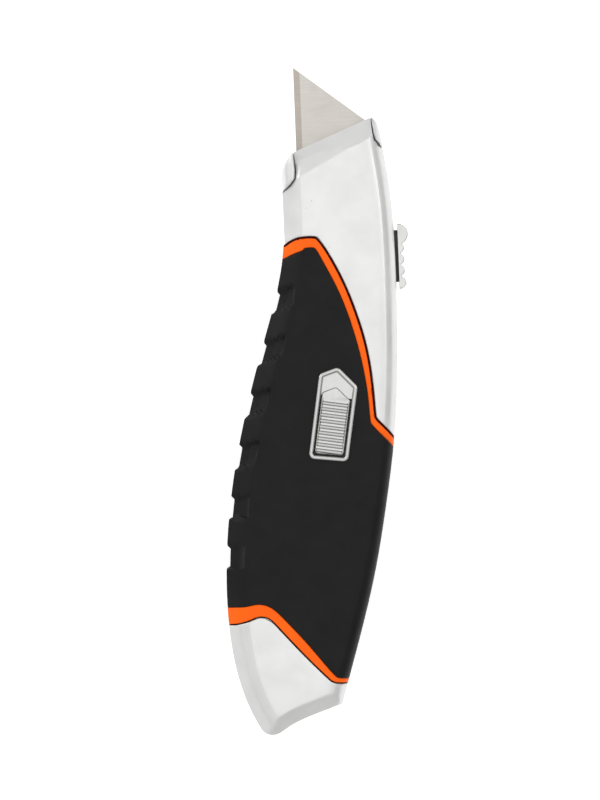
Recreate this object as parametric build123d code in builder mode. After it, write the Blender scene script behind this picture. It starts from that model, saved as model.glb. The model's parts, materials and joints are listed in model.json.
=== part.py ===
from build123d import *
import os
from math import atan2, cos, radians, sin, tan

# A retractable utility knife that lies on its right-hand side.
# +X points to the spine and the thumb button, +Y along the blade to its tip,
# and +Z up, out of the side that carries the latch button.

# ---------------------------------------------------------------- driving sizes, mm
parting = 10.0          # height of the plane where the two shells meet
half_gap = 0.1          # each shell stops this far from the parting plane
silver_rise = 9.5       # bare metal face, above the parting plane
trim_rise = 9.7         # orange trim face
grip_rise = 10.0        # rubber grip face
core_rise = 7.6         # metal face under the rubber
cavity_rise = 5.8       # roof of the rear hollow
channel_rise = 3.9      # roof of the blade channel
edge_round = 4.0        # rounding along belly, tail and spine
lip_run = 5.5           # width of the bevel behind the blade mouth
lip_drop = 3.2          # height of that bevel
lip_over = 6.0          # how far the bevel's cutter runs past the nose

blade_length = 62.0     # standard trapezoid blade
blade_width = 19.0
blade_back = 32.0
blade_thick = 0.6
blade_tip = 90.0
blade_edge = -2.9
blade_travel = 26.0     # from fully out to hidden
detent_count = 5        # stops along that travel

pin_radius = 0.75
pin_slack = 0.05        # the cover's knuckles run free on the pin
pin_half = 5.8
knuckle_radius = 1.65
knuckle_gap = 0.3       # room round and beside the other shell's knuckles
knuckle_side_gap = 0.15
hinge_half_angle = 37.5  # half the V behind the hinge axis
hinge_notch_reach = 9.0

lug_gap = 0.3           # seam between the nose lugs and the cover
lug_chamfer = 0.4
lug_root = 2.0

latch_angle = 9.5       # the latch slides forward, leaning this far to the spine

os.makedirs("parts", exist_ok=True)


# ---------------------------------------------------------------- plans
def level(rise):
    """A horizontal plane at a height above the parting plane."""
    return Plane.XY.offset(parting + rise)


with BuildSketch(level(half_gap)) as body_plan:
    with BuildLine():
        Polyline(
            (-7.2, 61.5), (-6.3, 63.8), (-3.9, 66.8), (17.6, 75.5), (19.0, 73.9), (20.1, 69.5),
        )
        Spline(
            (20.1, 69.5), (21.9, 55), (22.6, 38), (22.2, 12), (20.4, -11),
            (17.5, -29), (13.8, -47), (8.8, -65), (3.6, -82.0),
            tangents=((0.13, -1), (-0.3, -1)),
        )
        Spline(
            (3.6, -82.0), (-4, -84.6), (-10, -87.1), (-13.34, -89.13),
            tangents=((-1, -0.33), (-0.86, -0.52)),
        )
        ThreePointArc((-13.34, -89.13), (-15.6, -89.69), (-18.2, -88.55))
        Spline(
            (-18.2, -88.55), (-22.6, -79), (-26.35, -53), (-22.9, -18), (-13.8, 16),
            (-7.6, 40), (-7.2, 61.5),
            tangents=((-0.6, 1), (0, 1)),
        )
    make_face()

# the stretch that the rubber grip covers, a little past the outline on both sides
grip_front = (
    (-12, 37.6), (-7.7, 38.1), (-5, 39.5), (-2.1, 40.5), (1, 40.8), (4.7, 34), (8.5, 25),
    (11.1, 16), (12.8, 8.5), (13.8, 1), (14, -6.7), (20, -13.2), (26, -19.5),
)
grip_rear = (
    (12, -75.6), (5.3, -75.1), (1.8, -74.3), (-5, -65.5), (-13, -56.5), (-16, -54.6),
    (-20.5, -54.7), (-32, -54.9),
)
trim_front = (
    (-12, 41.2), (-7.1, 41.9), (-4, 43.7), (2, 43.8), (5, 38.9), (9, 30.6), (11.9, 22),
    (14.1, 13), (15.2, 5), (15.6, -5.3), (20.4, -10.6), (26, -16.6),
)
trim_rear = (
    (12, -77.2), (4.9, -76.5), (1, -75.9), (-5, -69.8), (-14, -59.5), (-17, -57.8),
    (-20, -58.6), (-24, -59.7), (-32, -59.7),
)

with BuildSketch(level(0)) as grip_plan:
    with BuildLine():
        Polyline(*grip_front, *grip_rear, close=True)
    make_face()

with BuildSketch(level(0)) as trim_plan:
    with BuildLine():
        Polyline(*trim_front, *trim_rear, close=True)
    make_face()

with BuildSketch(level(0)) as front_plan:
    with Locations((0, 35)):
        Rectangle(80, 140)

with BuildSketch(level(0)) as rear_plan:
    with Locations((0, -75)):
        Rectangle(80, 80)


# ---------------------------------------------------------------- half bodies
def half_body(rise):
    """The whole upper half out to its skin, with its rounded edge."""
    with BuildPart() as half:
        extrude(body_plan.sketch, amount=rise - half_gap)
        rim = half.faces().sort_by(Axis.Z)[-1].edges()
        along = [e for e in rim if not (e.center().Y > 61 and e.center().X < 19.9)]
        fillet(along, radius=edge_round)
    return half.part


def mouth_wedge(rise):
    """What is cut away above the lip behind the blade mouth."""
    lean = atan2(75.5 - 66.8, 17.6 + 3.9)
    across = Plane(
        origin=(6.85, 71.15, parting + rise),
        x_dir=(-sin(lean), cos(lean), 0),
        z_dir=(cos(lean), sin(lean), 0),
    )
    lip_low = -lip_drop * (lip_over + lip_run) / lip_run
    with BuildPart() as wedge:
        with BuildSketch(across):
            with BuildLine():
                Polyline((-lip_run, 0), (lip_over, lip_low), (lip_over, 4), (-lip_run, 4), close=True)
            make_face()
        extrude(amount=30, both=True)
    return wedge.part


silver_half = half_body(silver_rise)
rubber_half = half_body(grip_rise)
lip_wedge = mouth_wedge(silver_rise)

# the metal under the rubber follows the outline, one rubber thickness inside it
with BuildPart() as core_half:
    with BuildSketch(level(half_gap)):
        with BuildLine():
            Line((-4.8, 50), (20.2, 50))
            Spline(
                (20.2, 50), (20.2, 38), (19.8, 12), (18.0, -10.6), (15.2, -28.3), (11.5, -46.3),
                (3.2, -76.5),
            )
            Line((3.2, -76.5), (-20.2, -77.5))
            Spline((-20.2, -77.5), (-23.9, -53), (-20.6, -18.8), (-11.6, 14.9), (-5.3, 39.4), (-4.8, 50))
        make_face()
    extrude(amount=core_rise - half_gap)


# ---------------------------------------------------------------- tail hinge
hinge_along = Vector(0.936, 0.352, 0).normalized()
hinge_centre = Vector(-4.7, -82.75, parting)
hinge_plane = Plane(origin=hinge_centre, x_dir=(-hinge_along.Y, hinge_along.X, 0), z_dir=hinge_along)
handle_knuckles = ((-5.9, -3.7), (-1.1, 1.1), (3.7, 5.9))
cover_knuckles = ((-3.5, -1.3), (1.3, 3.5))
pin_bore = ((-7, 7),)


def hinge_barrel(spans, radius, grow=0.0):
    """Round barrels on the hinge axis, one for each span along it."""
    with BuildPart() as barrel:
        for low, high in spans:
            with BuildSketch(hinge_plane.offset(low - grow)):
                Circle(radius)
            extrude(amount=high - low + 2 * grow)
    return barrel.part


def hinge_notch():
    """The V behind the axis that lets the cover swing up."""
    spread = hinge_notch_reach * tan(radians(hinge_half_angle))
    with BuildPart() as notch:
        with BuildSketch(hinge_plane):
            with BuildLine():
                Polyline(
                    (0.02, 0), (-hinge_notch_reach, spread), (-hinge_notch_reach, -spread), close=True
                )
            make_face()
        extrude(amount=30, both=True)
    return notch.part


tail_notch = hinge_notch()

# ---------------------------------------------------------------- hollows
rear_hollow = (
    (-21.0, -60), (-20.4, -77.4), (1.6, -77.4), (4.6, -62), (8.6, -46), (12.4, -30), (15.6, -12),
    (16.0, 1), (-11.6, 1), (-15.7, -12), (-19.4, -30), (-21.0, -46),
)
blade_channel = (
    (-4.2, 61), (-4.2, -2), (16.0, -2), (18.4, 6), (19.4, 14), (19.4, 55), (17.6, 69.6),
)

with BuildSketch(level(0)) as hollow_plan:
    with BuildLine():
        Polyline(*rear_hollow, close=True)
    make_face()

with BuildSketch(level(0)) as channel_plan:
    with BuildLine():
        Polyline(*blade_channel, close=True)
    make_face()

with BuildSketch(level(0)) as mouth_plan:
    with BuildLine():
        Polyline((-3.3, 56), (16.7, 56), (16.7, 80), (-3.3, 80), close=True)
    make_face()

# the thumb slot runs through the spine wall at the parting plane
with BuildSketch(level(0)) as slot_plan:
    with BuildLine():
        Polyline((18, 2.5), (28, 2.5), (28, 47.3), (18, 47.3), close=True)
    make_face()

# lugs on the right shell that wrap both corners of the nose
with BuildSketch(level(-half_gap)) as lug_plan:
    with BuildLine():
        Polyline(
            (-3.9, 66.8), (-3.5, 62), (-3.7, 59.6), (-4.9, 58.1), (-8, 55.4), (-12, 60), (-8, 70),
            close=True,
        )
    make_face()
    with BuildLine():
        Polyline((17.6, 75.6), (18.0, 71), (18.4, 69.4), (19.9, 67.6), (24, 68), (24, 77), close=True)
    make_face()


def bare_shell():
    """One shell in the left-hand attitude: skin, core, hollow, mouth and slot."""
    with BuildPart() as shell:
        add(silver_half)
        extrude(trim_plan.sketch, amount=30, mode=Mode.SUBTRACT)
        add(lip_wedge, mode=Mode.SUBTRACT)
        add(core_half.part)
        extrude(hollow_plan.sketch, amount=cavity_rise, mode=Mode.SUBTRACT)
        extrude(channel_plan.sketch, amount=channel_rise, mode=Mode.SUBTRACT)
        extrude(mouth_plan.sketch, amount=blade_thick / 2 + 0.1, mode=Mode.SUBTRACT)
        extrude(slot_plan.sketch, amount=1.6, mode=Mode.SUBTRACT)
        add(tail_notch, mode=Mode.SUBTRACT)
    return shell.part


shell_half = bare_shell()

# ---------------------------------------------------------------- latch plans
bezel_corners = ((0.8, 7.0), (6.0, 8.7), (11.1, 3.2), (7.7, -17.0), (-3.0, -15.7))
button_corners = ((1.4, 2.0), (5.3, 3.3), (8.95, -0.5), (6.5, -15.35), (-1.35, -14.35))
bezel_radius = 1.6
bezel_rim = 1.1
bezel_rise = 10.8
bezel_floor = 8.4
button_radius = 1.0
button_float = 0.15     # the button slides this far above the frame's floor
button_rise = 9.8
rib_rise = 10.5
rib_pitch = 1.6
rib_count = 9
rib_length = 7.3
rib_width = 0.9
stem_half = 2.0         # half width of the stem and of both hooks
plate_half = 3.6
plate_low = 4.6
plate_high = 5.6
plate_hook_low = -1.6
hook_thick = 1.0
screw_radius = 0.8
screw_end = -2.0        # where the latch screw stands along the slide
screw_head = 1.7
spring_side = 5.4       # the spring lies beside the stem
spring_rise = 4.1
spring_outer = 1.5
spring_inner = 0.95
spring_back = -8.7
spring_length = 7.8
catch_half = 4.4
catch_screw_side = 3.2
catch_screw_end = -3.6
catch_screw_head = 1.1
catch_hook_high = 0.9
latch_forward = Vector(sin(radians(latch_angle)), cos(radians(latch_angle)), 0)
latch_side = Vector(latch_forward.Y, -latch_forward.X, 0)
latch_centre = Vector(3.9, -6.8, 0)


def latch_plane(rise):
    """A plane at a rise whose Y runs along the latch's slide."""
    return Plane(origin=latch_centre + Vector(0, 0, parting + rise), x_dir=latch_side, z_dir=(0, 0, 1))


def latch_box(sides, ends, rises):
    """A box from (side, end, rise) limits in the latch's own directions."""
    with BuildPart() as block:
        with BuildSketch(latch_plane(rises[0])):
            with Locations(((sides[0] + sides[1]) / 2, (ends[0] + ends[1]) / 2)):
                Rectangle(sides[1] - sides[0], ends[1] - ends[0])
        extrude(amount=rises[1] - rises[0])
    return block.part


def latch_post(side, end, radius, rises):
    """An upright round post in the latch's own directions."""
    with BuildPart() as post:
        with BuildSketch(latch_plane(rises[0])):
            with Locations((side, end)):
                Circle(radius)
        extrude(amount=rises[1] - rises[0])
    return post.part


def rounded_prism(corners, radius, inset, rises):
    """A prism with rounded corners, drawn in by an inset, between two rises."""
    with BuildPart() as prism:
        with BuildSketch(level(rises[0])):
            with BuildLine():
                FilletPolyline(*corners, radius=radius, close=True)
            make_face()
            if inset:
                offset(amount=-inset)
        extrude(amount=rises[1] - rises[0])
    return prism.part


latch_slot = latch_box((-2.3, 2.3), (-6, 6), (4.0, 9.0))
catch_sides = (-catch_screw_side, catch_screw_side)
catch_hole_rises = (-cavity_rise - 1.6, -cavity_rise)
catch_holes = [latch_post(side, catch_screw_end, screw_radius, catch_hole_rises) for side in catch_sides]

# ---------------------------------------------------------------- left shell, the cover
with BuildPart() as left_shell:
    add(shell_half)
    add(hinge_barrel(cover_knuckles, knuckle_radius))
    add(hinge_barrel(handle_knuckles, knuckle_radius + knuckle_gap, knuckle_side_gap), mode=Mode.SUBTRACT)
    add(hinge_barrel(pin_bore, pin_radius + pin_slack), mode=Mode.SUBTRACT)
    with BuildSketch(level(0)):
        add(lug_plan.sketch.moved(Location((0, 0, half_gap))))
        offset(amount=lug_gap, kind=Kind.INTERSECTION)
    extrude(amount=30, mode=Mode.SUBTRACT)
    add(latch_slot, mode=Mode.SUBTRACT)
    add(latch_box((3.6, 7.4), (-9.8, -8.8), (2.8, cavity_rise + 0.3)))
left_shell.part.label = "left_shell"

# ---------------------------------------------------------------- right shell, the handle
middle = Plane.XY.offset(parting)

with BuildPart() as nose_lugs:
    add(silver_half)
    with BuildSketch(level(0)):
        add(lug_plan.sketch.moved(Location((0, 0, half_gap))))
    extrude(amount=30, mode=Mode.INTERSECT)
    chamfer(nose_lugs.faces().sort_by(Axis.Z)[-1].edges(), length=lug_chamfer)

with BuildPart() as lug_roots:
    with BuildSketch(level(-lug_root)):
        add(body_plan.sketch.moved(Location((0, 0, -lug_root - half_gap))))
        add(lug_plan.sketch.moved(Location((0, 0, -lug_root + half_gap))), mode=Mode.INTERSECT)
    extrude(amount=lug_root + 2 * half_gap)

with BuildPart() as right_shell:
    add(shell_half)
    mirror(about=middle, mode=Mode.REPLACE)
    add(hinge_barrel(handle_knuckles, knuckle_radius))
    add(hinge_barrel(cover_knuckles, knuckle_radius + knuckle_gap, knuckle_side_gap), mode=Mode.SUBTRACT)
    add(hinge_barrel(pin_bore, pin_radius), mode=Mode.SUBTRACT)
    add(lug_roots.part)
    add(nose_lugs.part)
    add(catch_holes, mode=Mode.SUBTRACT)
right_shell.part.label = "right_shell"

with BuildPart() as hinge_pin:
    add(hinge_barrel(((-pin_half, pin_half),), pin_radius))
hinge_pin.part.label = "hinge_pin"

# ---------------------------------------------------------------- grips
# front and rear ends of each finger groove: at the silhouette and at its inner wall
finger_grooves = (
    ((-9.6, 29.8), (-4.4, 31.4), (-5.3, 25.7), (-11.6, 23.4)),
    ((-14.4, 16.1), (-7.4, 18.0), (-9.2, 12.0), (-16.2, 9.5)),
    ((-18.5, 2.6), (-11.8, 4.0), (-13.6, -2.2), (-20.4, -4.2)),
    ((-22.3, -11.2), (-15.4, -10.0), (-17.2, -16.4), (-23.6, -18.2)),
    ((-25.4, -24.8), (-18.9, -24.6), (-19.6, -31.0), (-26.2, -31.3)),
    ((-26.8, -38.0), (-20.7, -38.2), (-21.3, -44.6), (-27.2, -44.5)),
)
groove_depth = 0.8

with BuildPart() as grip_body:
    add(rubber_half)
    extrude(grip_plan.sketch, amount=30, mode=Mode.INTERSECT)
    for corners in finger_grooves:
        with BuildSketch(level(0)):
            with BuildLine():
                Polyline(*corners, close=True)
            make_face()
        extrude(amount=30, mode=Mode.SUBTRACT)
    for corners in finger_grooves:
        with BuildSketch(level(half_gap)):
            with BuildLine():
                Polyline(*[(x + groove_depth, y) for x, y in corners], close=True)
            make_face()
        extrude(amount=grip_rise - groove_depth - half_gap)
    add(rubber_half, mode=Mode.INTERSECT)
    extrude(grip_plan.sketch, amount=30, mode=Mode.INTERSECT)
    add(core_half.part, mode=Mode.SUBTRACT)

with BuildPart() as left_grip:
    add(grip_body.part)
    add(rounded_prism(bezel_corners, bezel_radius, 0, (0, 30)), mode=Mode.SUBTRACT)
left_grip.part.label = "left_grip"

with BuildPart() as right_grip:
    add(grip_body.part)
    mirror(about=middle, mode=Mode.REPLACE)
right_grip.part.label = "right_grip"

# ---------------------------------------------------------------- orange trims
trim_half = half_body(trim_rise)


def trim(end_plan):
    """The orange line along one end of the grip, in the left-hand attitude."""
    with BuildPart() as line:
        add(trim_half)
        extrude(trim_plan.sketch, amount=30, mode=Mode.INTERSECT)
        extrude(grip_plan.sketch, amount=30, mode=Mode.SUBTRACT)
        extrude(end_plan, amount=30, mode=Mode.INTERSECT)
        add(core_half.part, mode=Mode.SUBTRACT)
    return line.part


with BuildPart() as left_front_trim:
    add(trim(front_plan.sketch))
left_front_trim.part.label = "left_front_trim"

with BuildPart() as left_rear_trim:
    add(trim(rear_plan.sketch))
left_rear_trim.part.label = "left_rear_trim"

with BuildPart() as right_front_trim:
    add(left_front_trim.part)
    mirror(about=middle, mode=Mode.REPLACE)
right_front_trim.part.label = "right_front_trim"

with BuildPart() as right_rear_trim:
    add(left_rear_trim.part)
    mirror(about=middle, mode=Mode.REPLACE)
right_rear_trim.part.label = "right_rear_trim"

# ---------------------------------------------------------------- latch
bezel_recess = rounded_prism(bezel_corners, bezel_radius, bezel_rim, (bezel_floor, bezel_rise + 1))
with BuildPart() as latch_bezel:
    add(rounded_prism(bezel_corners, bezel_radius, 0, (core_rise, bezel_rise)))
    add(bezel_recess, mode=Mode.SUBTRACT)
    add(latch_slot, mode=Mode.SUBTRACT)
latch_bezel.part.label = "latch_bezel"

with BuildPart() as latch_button:
    add(rounded_prism(button_corners, button_radius, 0, (bezel_floor + button_float, button_rise)))
    with BuildSketch(latch_plane(button_rise - 0.4)):
        with Locations((0, -0.9)):
            with GridLocations(0, rib_pitch, 1, rib_count):
                Rectangle(rib_length, rib_width)
    extrude(amount=rib_rise - button_rise + 0.4)
    add(latch_box((-stem_half, stem_half), (-4.5, 0.5), (plate_high, bezel_floor + 0.5)))
    add(latch_post(0, screw_end, screw_radius, (plate_high - 1, 8)), mode=Mode.SUBTRACT)
latch_button.part.label = "latch_button"

hook_high = plate_hook_low + hook_thick
with BuildPart() as latch_plate:
    add(latch_box((-plate_half, plate_half), (-8, 3), (plate_low, plate_high)))
    add(latch_box((-stem_half, stem_half), (1.8, 3.0), (plate_hook_low, plate_high)))
    add(latch_box((-stem_half, stem_half), (0.2, 3.0), (plate_hook_low, hook_high)))
    add(latch_box((3.0, 7.2), (-0.8, 0.2), (3.0, plate_high)))
    add(latch_post(0, screw_end, screw_radius, (plate_low - 1, plate_high + 1)), mode=Mode.SUBTRACT)
latch_plate.part.label = "latch_plate"

with BuildPart() as latch_screw:
    add(latch_post(0, screw_end, screw_head, (plate_low - 0.8, plate_low)))
    add(latch_post(0, screw_end, screw_radius, (plate_low, 7.8)))
latch_screw.part.label = "latch_screw"

spring_plane = Plane(
    origin=latch_centre + latch_side * spring_side + Vector(0, 0, parting + spring_rise),
    x_dir=latch_side,
    z_dir=latch_forward,
)
with BuildPart() as latch_spring:
    with BuildSketch(spring_plane.offset(spring_back)):
        Circle(spring_outer)
        Circle(spring_inner, mode=Mode.SUBTRACT)
    extrude(amount=spring_length)
latch_spring.part.label = "latch_spring"

catch_base = -cavity_rise
catch_foot = catch_base + 1
with BuildPart() as latch_catch:
    add(latch_box((-catch_half, catch_half), (-5.0, -1.8), (catch_base, catch_foot)))
    add(latch_box((-stem_half, stem_half), (-3.0, -1.8), (catch_base, catch_hook_high)))
    add(latch_box((-stem_half, stem_half), (-3.0, -0.1), (catch_hook_high - hook_thick, catch_hook_high)))
    for side in catch_sides:
        hole = latch_post(side, catch_screw_end, screw_radius, (catch_base - 1, catch_foot + 1))
        add(hole, mode=Mode.SUBTRACT)
latch_catch.part.label = "latch_catch"

with BuildPart() as catch_screws:
    for side in catch_sides:
        add(latch_post(side, catch_screw_end, catch_screw_head, (catch_foot, catch_foot + 0.8)))
        add(latch_post(side, catch_screw_end, screw_radius, (catch_base - 1.4, catch_foot)))
catch_screws.part.label = "catch_screws"


# ---------------------------------------------------------------- blades
notch_reach = 2.8        # the blade's two back notches
notch_pitch = 12.0


def blade_plan(plane, tip):
    """The trapezoid blade, its edge on the belly side, with two notches in its back."""
    slope = (blade_length - blade_back) / 2
    back = blade_edge + blade_width
    with BuildSketch(plane) as plan:
        with BuildLine():
            Polyline(
                (blade_edge, tip), (back, tip - slope), (back, tip - slope - blade_back),
                (blade_edge, tip - blade_length), close=True,
            )
        make_face()
        with Locations((back, tip - blade_length / 2)):
            with GridLocations(0, notch_pitch, 1, 2):
                Rectangle(6, notch_reach, mode=Mode.SUBTRACT)
    return plan.sketch


with BuildPart() as blade:
    extrude(blade_plan(level(-blade_thick / 2), blade_tip), amount=blade_thick)
blade.part.label = "blade"

magazine_angle = 9.0
magazine_plane = Plane(
    origin=(-4.4, -44.2, parting),
    x_dir=(cos(radians(magazine_angle)), -sin(radians(magazine_angle)), 0),
    z_dir=(0, 0, 1),
)
magazine_wall = 0.6
magazine_slack = 0.4
magazine_base = 0.9
magazine_floor = -cavity_rise + magazine_base
tray_width = blade_width + magazine_slack
tray_length = blade_length + magazine_slack
spare_count = 4
spare_pitch = blade_thick + 0.03

with BuildPart() as blade_magazine:
    with BuildSketch(magazine_plane.offset(-cavity_rise)):
        RectangleRounded(tray_width + 2 * magazine_wall, tray_length + 2 * magazine_wall, 1.0)
    extrude(amount=magazine_base + spare_count * spare_pitch)
    with BuildSketch(magazine_plane.offset(magazine_floor)):
        Rectangle(tray_width, tray_length)
    extrude(amount=10, mode=Mode.SUBTRACT)
    with BuildSketch(magazine_plane.offset(-cavity_rise)):
        SlotOverall(40, 6, rotation=90)
    extrude(amount=2, mode=Mode.SUBTRACT)
blade_magazine.part.label = "blade_magazine"

blade_shift = -blade_edge - blade_width / 2
with BuildPart() as spare_blades:
    for layer in range(spare_count):
        stack_plane = magazine_plane.offset(magazine_floor + 0.03 + layer * spare_pitch)
        stack_plane = stack_plane.shift_origin(stack_plane.from_local_coords((blade_shift, 0, 0)))
        extrude(blade_plan(stack_plane, blade_length / 2), amount=blade_thick)
spare_blades.part.label = "spare_blades"

clip_low = magazine_floor + spare_count * spare_pitch + 0.1
clip_width = 5.0
clip_length = 30.0
clip_thick = 0.4
with BuildPart() as magazine_clip:
    with BuildSketch(magazine_plane.offset(clip_low)):
        Rectangle(clip_width, clip_length)
        with Locations((0, 12)):
            Rectangle(tray_width + 2 * magazine_wall, clip_width)
    extrude(amount=clip_thick)
magazine_clip.part.label = "magazine_clip"

# ---------------------------------------------------------------- carrier and thumb button
carrier_low = -channel_rise + 0.3
carrier_high = -blade_thick / 2 - 0.05
blade_middle = blade_tip - blade_length / 2
peg_size = (2.6, 2.4)
button_y = 38.0         # middle of the thumb button's stem
cell_x = 14.0           # middle of the carrier's spring cell

with BuildPart() as blade_carrier:
    with BuildSketch(level(carrier_low)):
        with BuildLine():
            Polyline((1, 34), (16.8, 34), (16.8, 66.2), (12.4, 66.2), (8, 60), (1, 60), close=True)
        make_face()
    extrude(amount=carrier_high - carrier_low)
    with BuildSketch(level(carrier_high)):
        with Locations((14.7, blade_middle)):
            with GridLocations(0, notch_pitch, 1, 2):
                Rectangle(*peg_size)
    extrude(amount=1.5)
    with BuildSketch(level(carrier_low)):
        with Locations((16.4, button_y)):
            Rectangle(1.4, 15.4)
    extrude(amount=4, mode=Mode.SUBTRACT)
    with BuildSketch(level(carrier_low + 0.7)):
        with Locations((cell_x, button_y)):
            Rectangle(5.0, 7.4)
    extrude(amount=4, mode=Mode.SUBTRACT)
blade_carrier.part.label = "blade_carrier"

stem_low = -1.2
with BuildPart() as button_stem:
    with BuildSketch(level(stem_low)):
        with Locations((20.34, button_y)):
            Rectangle(6.28, 14)
    extrude(amount=-2 * stem_low)
    with BuildSketch(level(carrier_low + 0.9)):
        with Locations((15.2, button_y)):
            Rectangle(4.2, 6.8)
    extrude(amount=carrier_high - carrier_low - 1.0)
    with BuildSketch(level(carrier_low + 0.9)):
        with Locations((17.6, button_y)):
            Rectangle(0.9, 6.8)
    extrude(amount=stem_low - carrier_low)
button_stem.part.label = "button_stem"

with BuildPart() as thumb_spring:
    with BuildSketch(level(carrier_low + 0.9)):
        with BuildLine():
            Polyline(
                (11.55, 34.6), (11.85, 34.6), (12.25, button_y),
                (11.85, 41.4), (11.55, 41.4), (11.9, button_y),
                close=True,
            )
        make_face()
    extrude(amount=1.8)
thumb_spring.part.label = "thumb_spring"

cap_low = 23.5
cap_half = 3.2
with BuildPart() as thumb_button:
    with BuildSketch(level(-cap_half)):
        with Locations((24.0, 37.85)):
            Rectangle(1.0, 17.7)
        with Locations((23.9, 30.6), (23.9, 33.8), (23.9, 36.9), (23.9, 40.0)):
            Circle(1.25)
        with Locations((23.5, 43.85)):
            Circle(2.85)
        with Locations((cap_low - 3, button_y)):
            Rectangle(6, 30, mode=Mode.SUBTRACT)
    extrude(amount=2 * cap_half)
    chamfer(thumb_button.faces().sort_by(Axis.Z)[-1].edges().filter_by(GeomType.CIRCLE), length=0.4)
thumb_button.part.label = "thumb_button"

rack_y = 32.0
rack_height = 2.0
detent_pitch = blade_travel / (detent_count - 1)
with BuildPart() as detent_rack:
    with BuildSketch(level(-channel_rise)):
        with Locations((18.8, rack_y)):
            Rectangle(1.1, 36)
        with Locations((18.1, rack_y)):
            with GridLocations(0, detent_pitch, 1, detent_count):
                Circle(0.7, mode=Mode.SUBTRACT)
    extrude(amount=rack_height)
detent_rack.part.label = "detent_rack"

with BuildPart() as rack_rivets:
    with BuildSketch(level(-channel_rise + rack_height)):
        with Locations((18.9, rack_y - 16.4), (18.9, rack_y + 16.4)):
            Circle(0.4)
    extrude(amount=0.3)
rack_rivets.part.label = "rack_rivets"

pieces = (
    left_shell, right_shell, hinge_pin, left_grip, right_grip,
    left_front_trim, left_rear_trim, right_front_trim, right_rear_trim,
    latch_bezel, latch_button, latch_plate, latch_screw, latch_spring, latch_catch, catch_screws,
    blade, blade_magazine, spare_blades, magazine_clip,
    blade_carrier, button_stem, thumb_spring, thumb_button, detent_rack, rack_rivets,
)
for piece in pieces:
    export_step(piece.part, f"parts/{piece.part.label}.step")
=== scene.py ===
import json
import math

import bmesh
import bpy
import numpy as np
from bpy.props import FloatProperty, FloatVectorProperty, PointerProperty
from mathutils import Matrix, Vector
from mathutils.geometry import delaunay_2d_cdt


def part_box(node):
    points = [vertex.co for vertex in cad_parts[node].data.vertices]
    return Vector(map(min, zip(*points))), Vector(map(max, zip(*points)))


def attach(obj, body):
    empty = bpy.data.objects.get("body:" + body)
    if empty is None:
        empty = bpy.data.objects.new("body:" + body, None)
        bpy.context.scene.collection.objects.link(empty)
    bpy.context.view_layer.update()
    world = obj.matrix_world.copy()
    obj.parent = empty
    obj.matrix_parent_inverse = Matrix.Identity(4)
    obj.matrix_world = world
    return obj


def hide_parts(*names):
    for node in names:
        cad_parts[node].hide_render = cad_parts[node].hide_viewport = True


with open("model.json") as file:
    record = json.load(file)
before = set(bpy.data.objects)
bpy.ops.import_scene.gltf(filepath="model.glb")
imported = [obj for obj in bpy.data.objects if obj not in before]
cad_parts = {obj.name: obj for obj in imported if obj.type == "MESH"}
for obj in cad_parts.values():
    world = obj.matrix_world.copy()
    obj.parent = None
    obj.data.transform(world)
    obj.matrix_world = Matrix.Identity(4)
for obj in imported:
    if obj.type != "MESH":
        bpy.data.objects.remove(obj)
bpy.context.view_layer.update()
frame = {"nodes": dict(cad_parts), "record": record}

bl_info = {
    "name": "Utility Knife",
    "version": (1, 0, 0),
    "blender": (4, 5, 0),
    "location": "3D View > Sidebar > Knife",
    "description": "Builds the shells, grips, latch, blade and finishes of a retractable utility knife",
    "category": "Object",
}

MM = 0.001
NODES = frame["nodes"]


def span(node):
    """A node's lowest and highest corners, in millimetres."""
    low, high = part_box(node)
    return np.array(low) / MM, np.array(high) / MM


# lengths are in millimetres, and a rise is a height above the parting plane
BLADE_LOW, BLADE_HIGH = span("blade")
PARTING = (BLADE_LOW[2] + BLADE_HIGH[2]) / 2
SILVER_RISE = span("left_shell")[1][2] - PARTING
TRIM_RISE = span("left_front_trim")[1][2] - PARTING
GRIP_RISE = span("left_grip")[1][2] - PARTING
CORE_RISE = 7.65
HALF_GAP = 0.1
BELOW = 12.0
SKIN_INSET = 0.02
SILVER_BLEND, GRIP_BLEND, TRIM_BLEND = 0.12, 0.9, 0.5
GRIP_ROUND, TRIM_ROUND = 4.6, 5.0
RIM_INSETS = (0.0, 0.06, 0.16, 0.3)


# ---------------------------------------------------------------- settings
class KnifeSizes(bpy.types.PropertyGroup):
    """Sizes of the knife's visible detail."""

    belly_band: FloatProperty(
        name="Belly band", description="Width of the bevel along the belly, in millimetres", default=5.0
    )
    belly_drop: FloatProperty(
        name="Belly drop", description="Height of the bevel along the belly, in millimetres", default=3.4
    )
    tail_band: FloatProperty(
        name="Tail band", description="Width of the bevel round the butt, in millimetres", default=3.9
    )
    spine_round: FloatProperty(
        name="Spine round", description="Radius along the spine, in millimetres", default=5.4
    )
    groove_depth: FloatProperty(
        name="Groove depth", description="Depth of the finger grooves, in millimetres", default=1.0
    )
    groove_wall: FloatProperty(
        name="Groove wall", description="Width of the slope round a groove, in millimetres", default=0.8
    )
    edge_break: FloatProperty(
        name="Edge break", description="Rounding where two materials meet, in millimetres", default=0.28
    )
    seam: FloatProperty(
        name="Seam", description="Gap between metal and trim, in millimetres", default=0.06
    )
    # the grooves beside the trims are painted dark red as shade
    groove_front: FloatProperty(
        name="Front groove", description="Dark groove beside the front trim, in millimetres", default=0.5
    )
    groove_rear: FloatProperty(
        name="Rear groove", description="Dark groove beside the rear trim, in millimetres", default=0.28
    )


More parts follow.
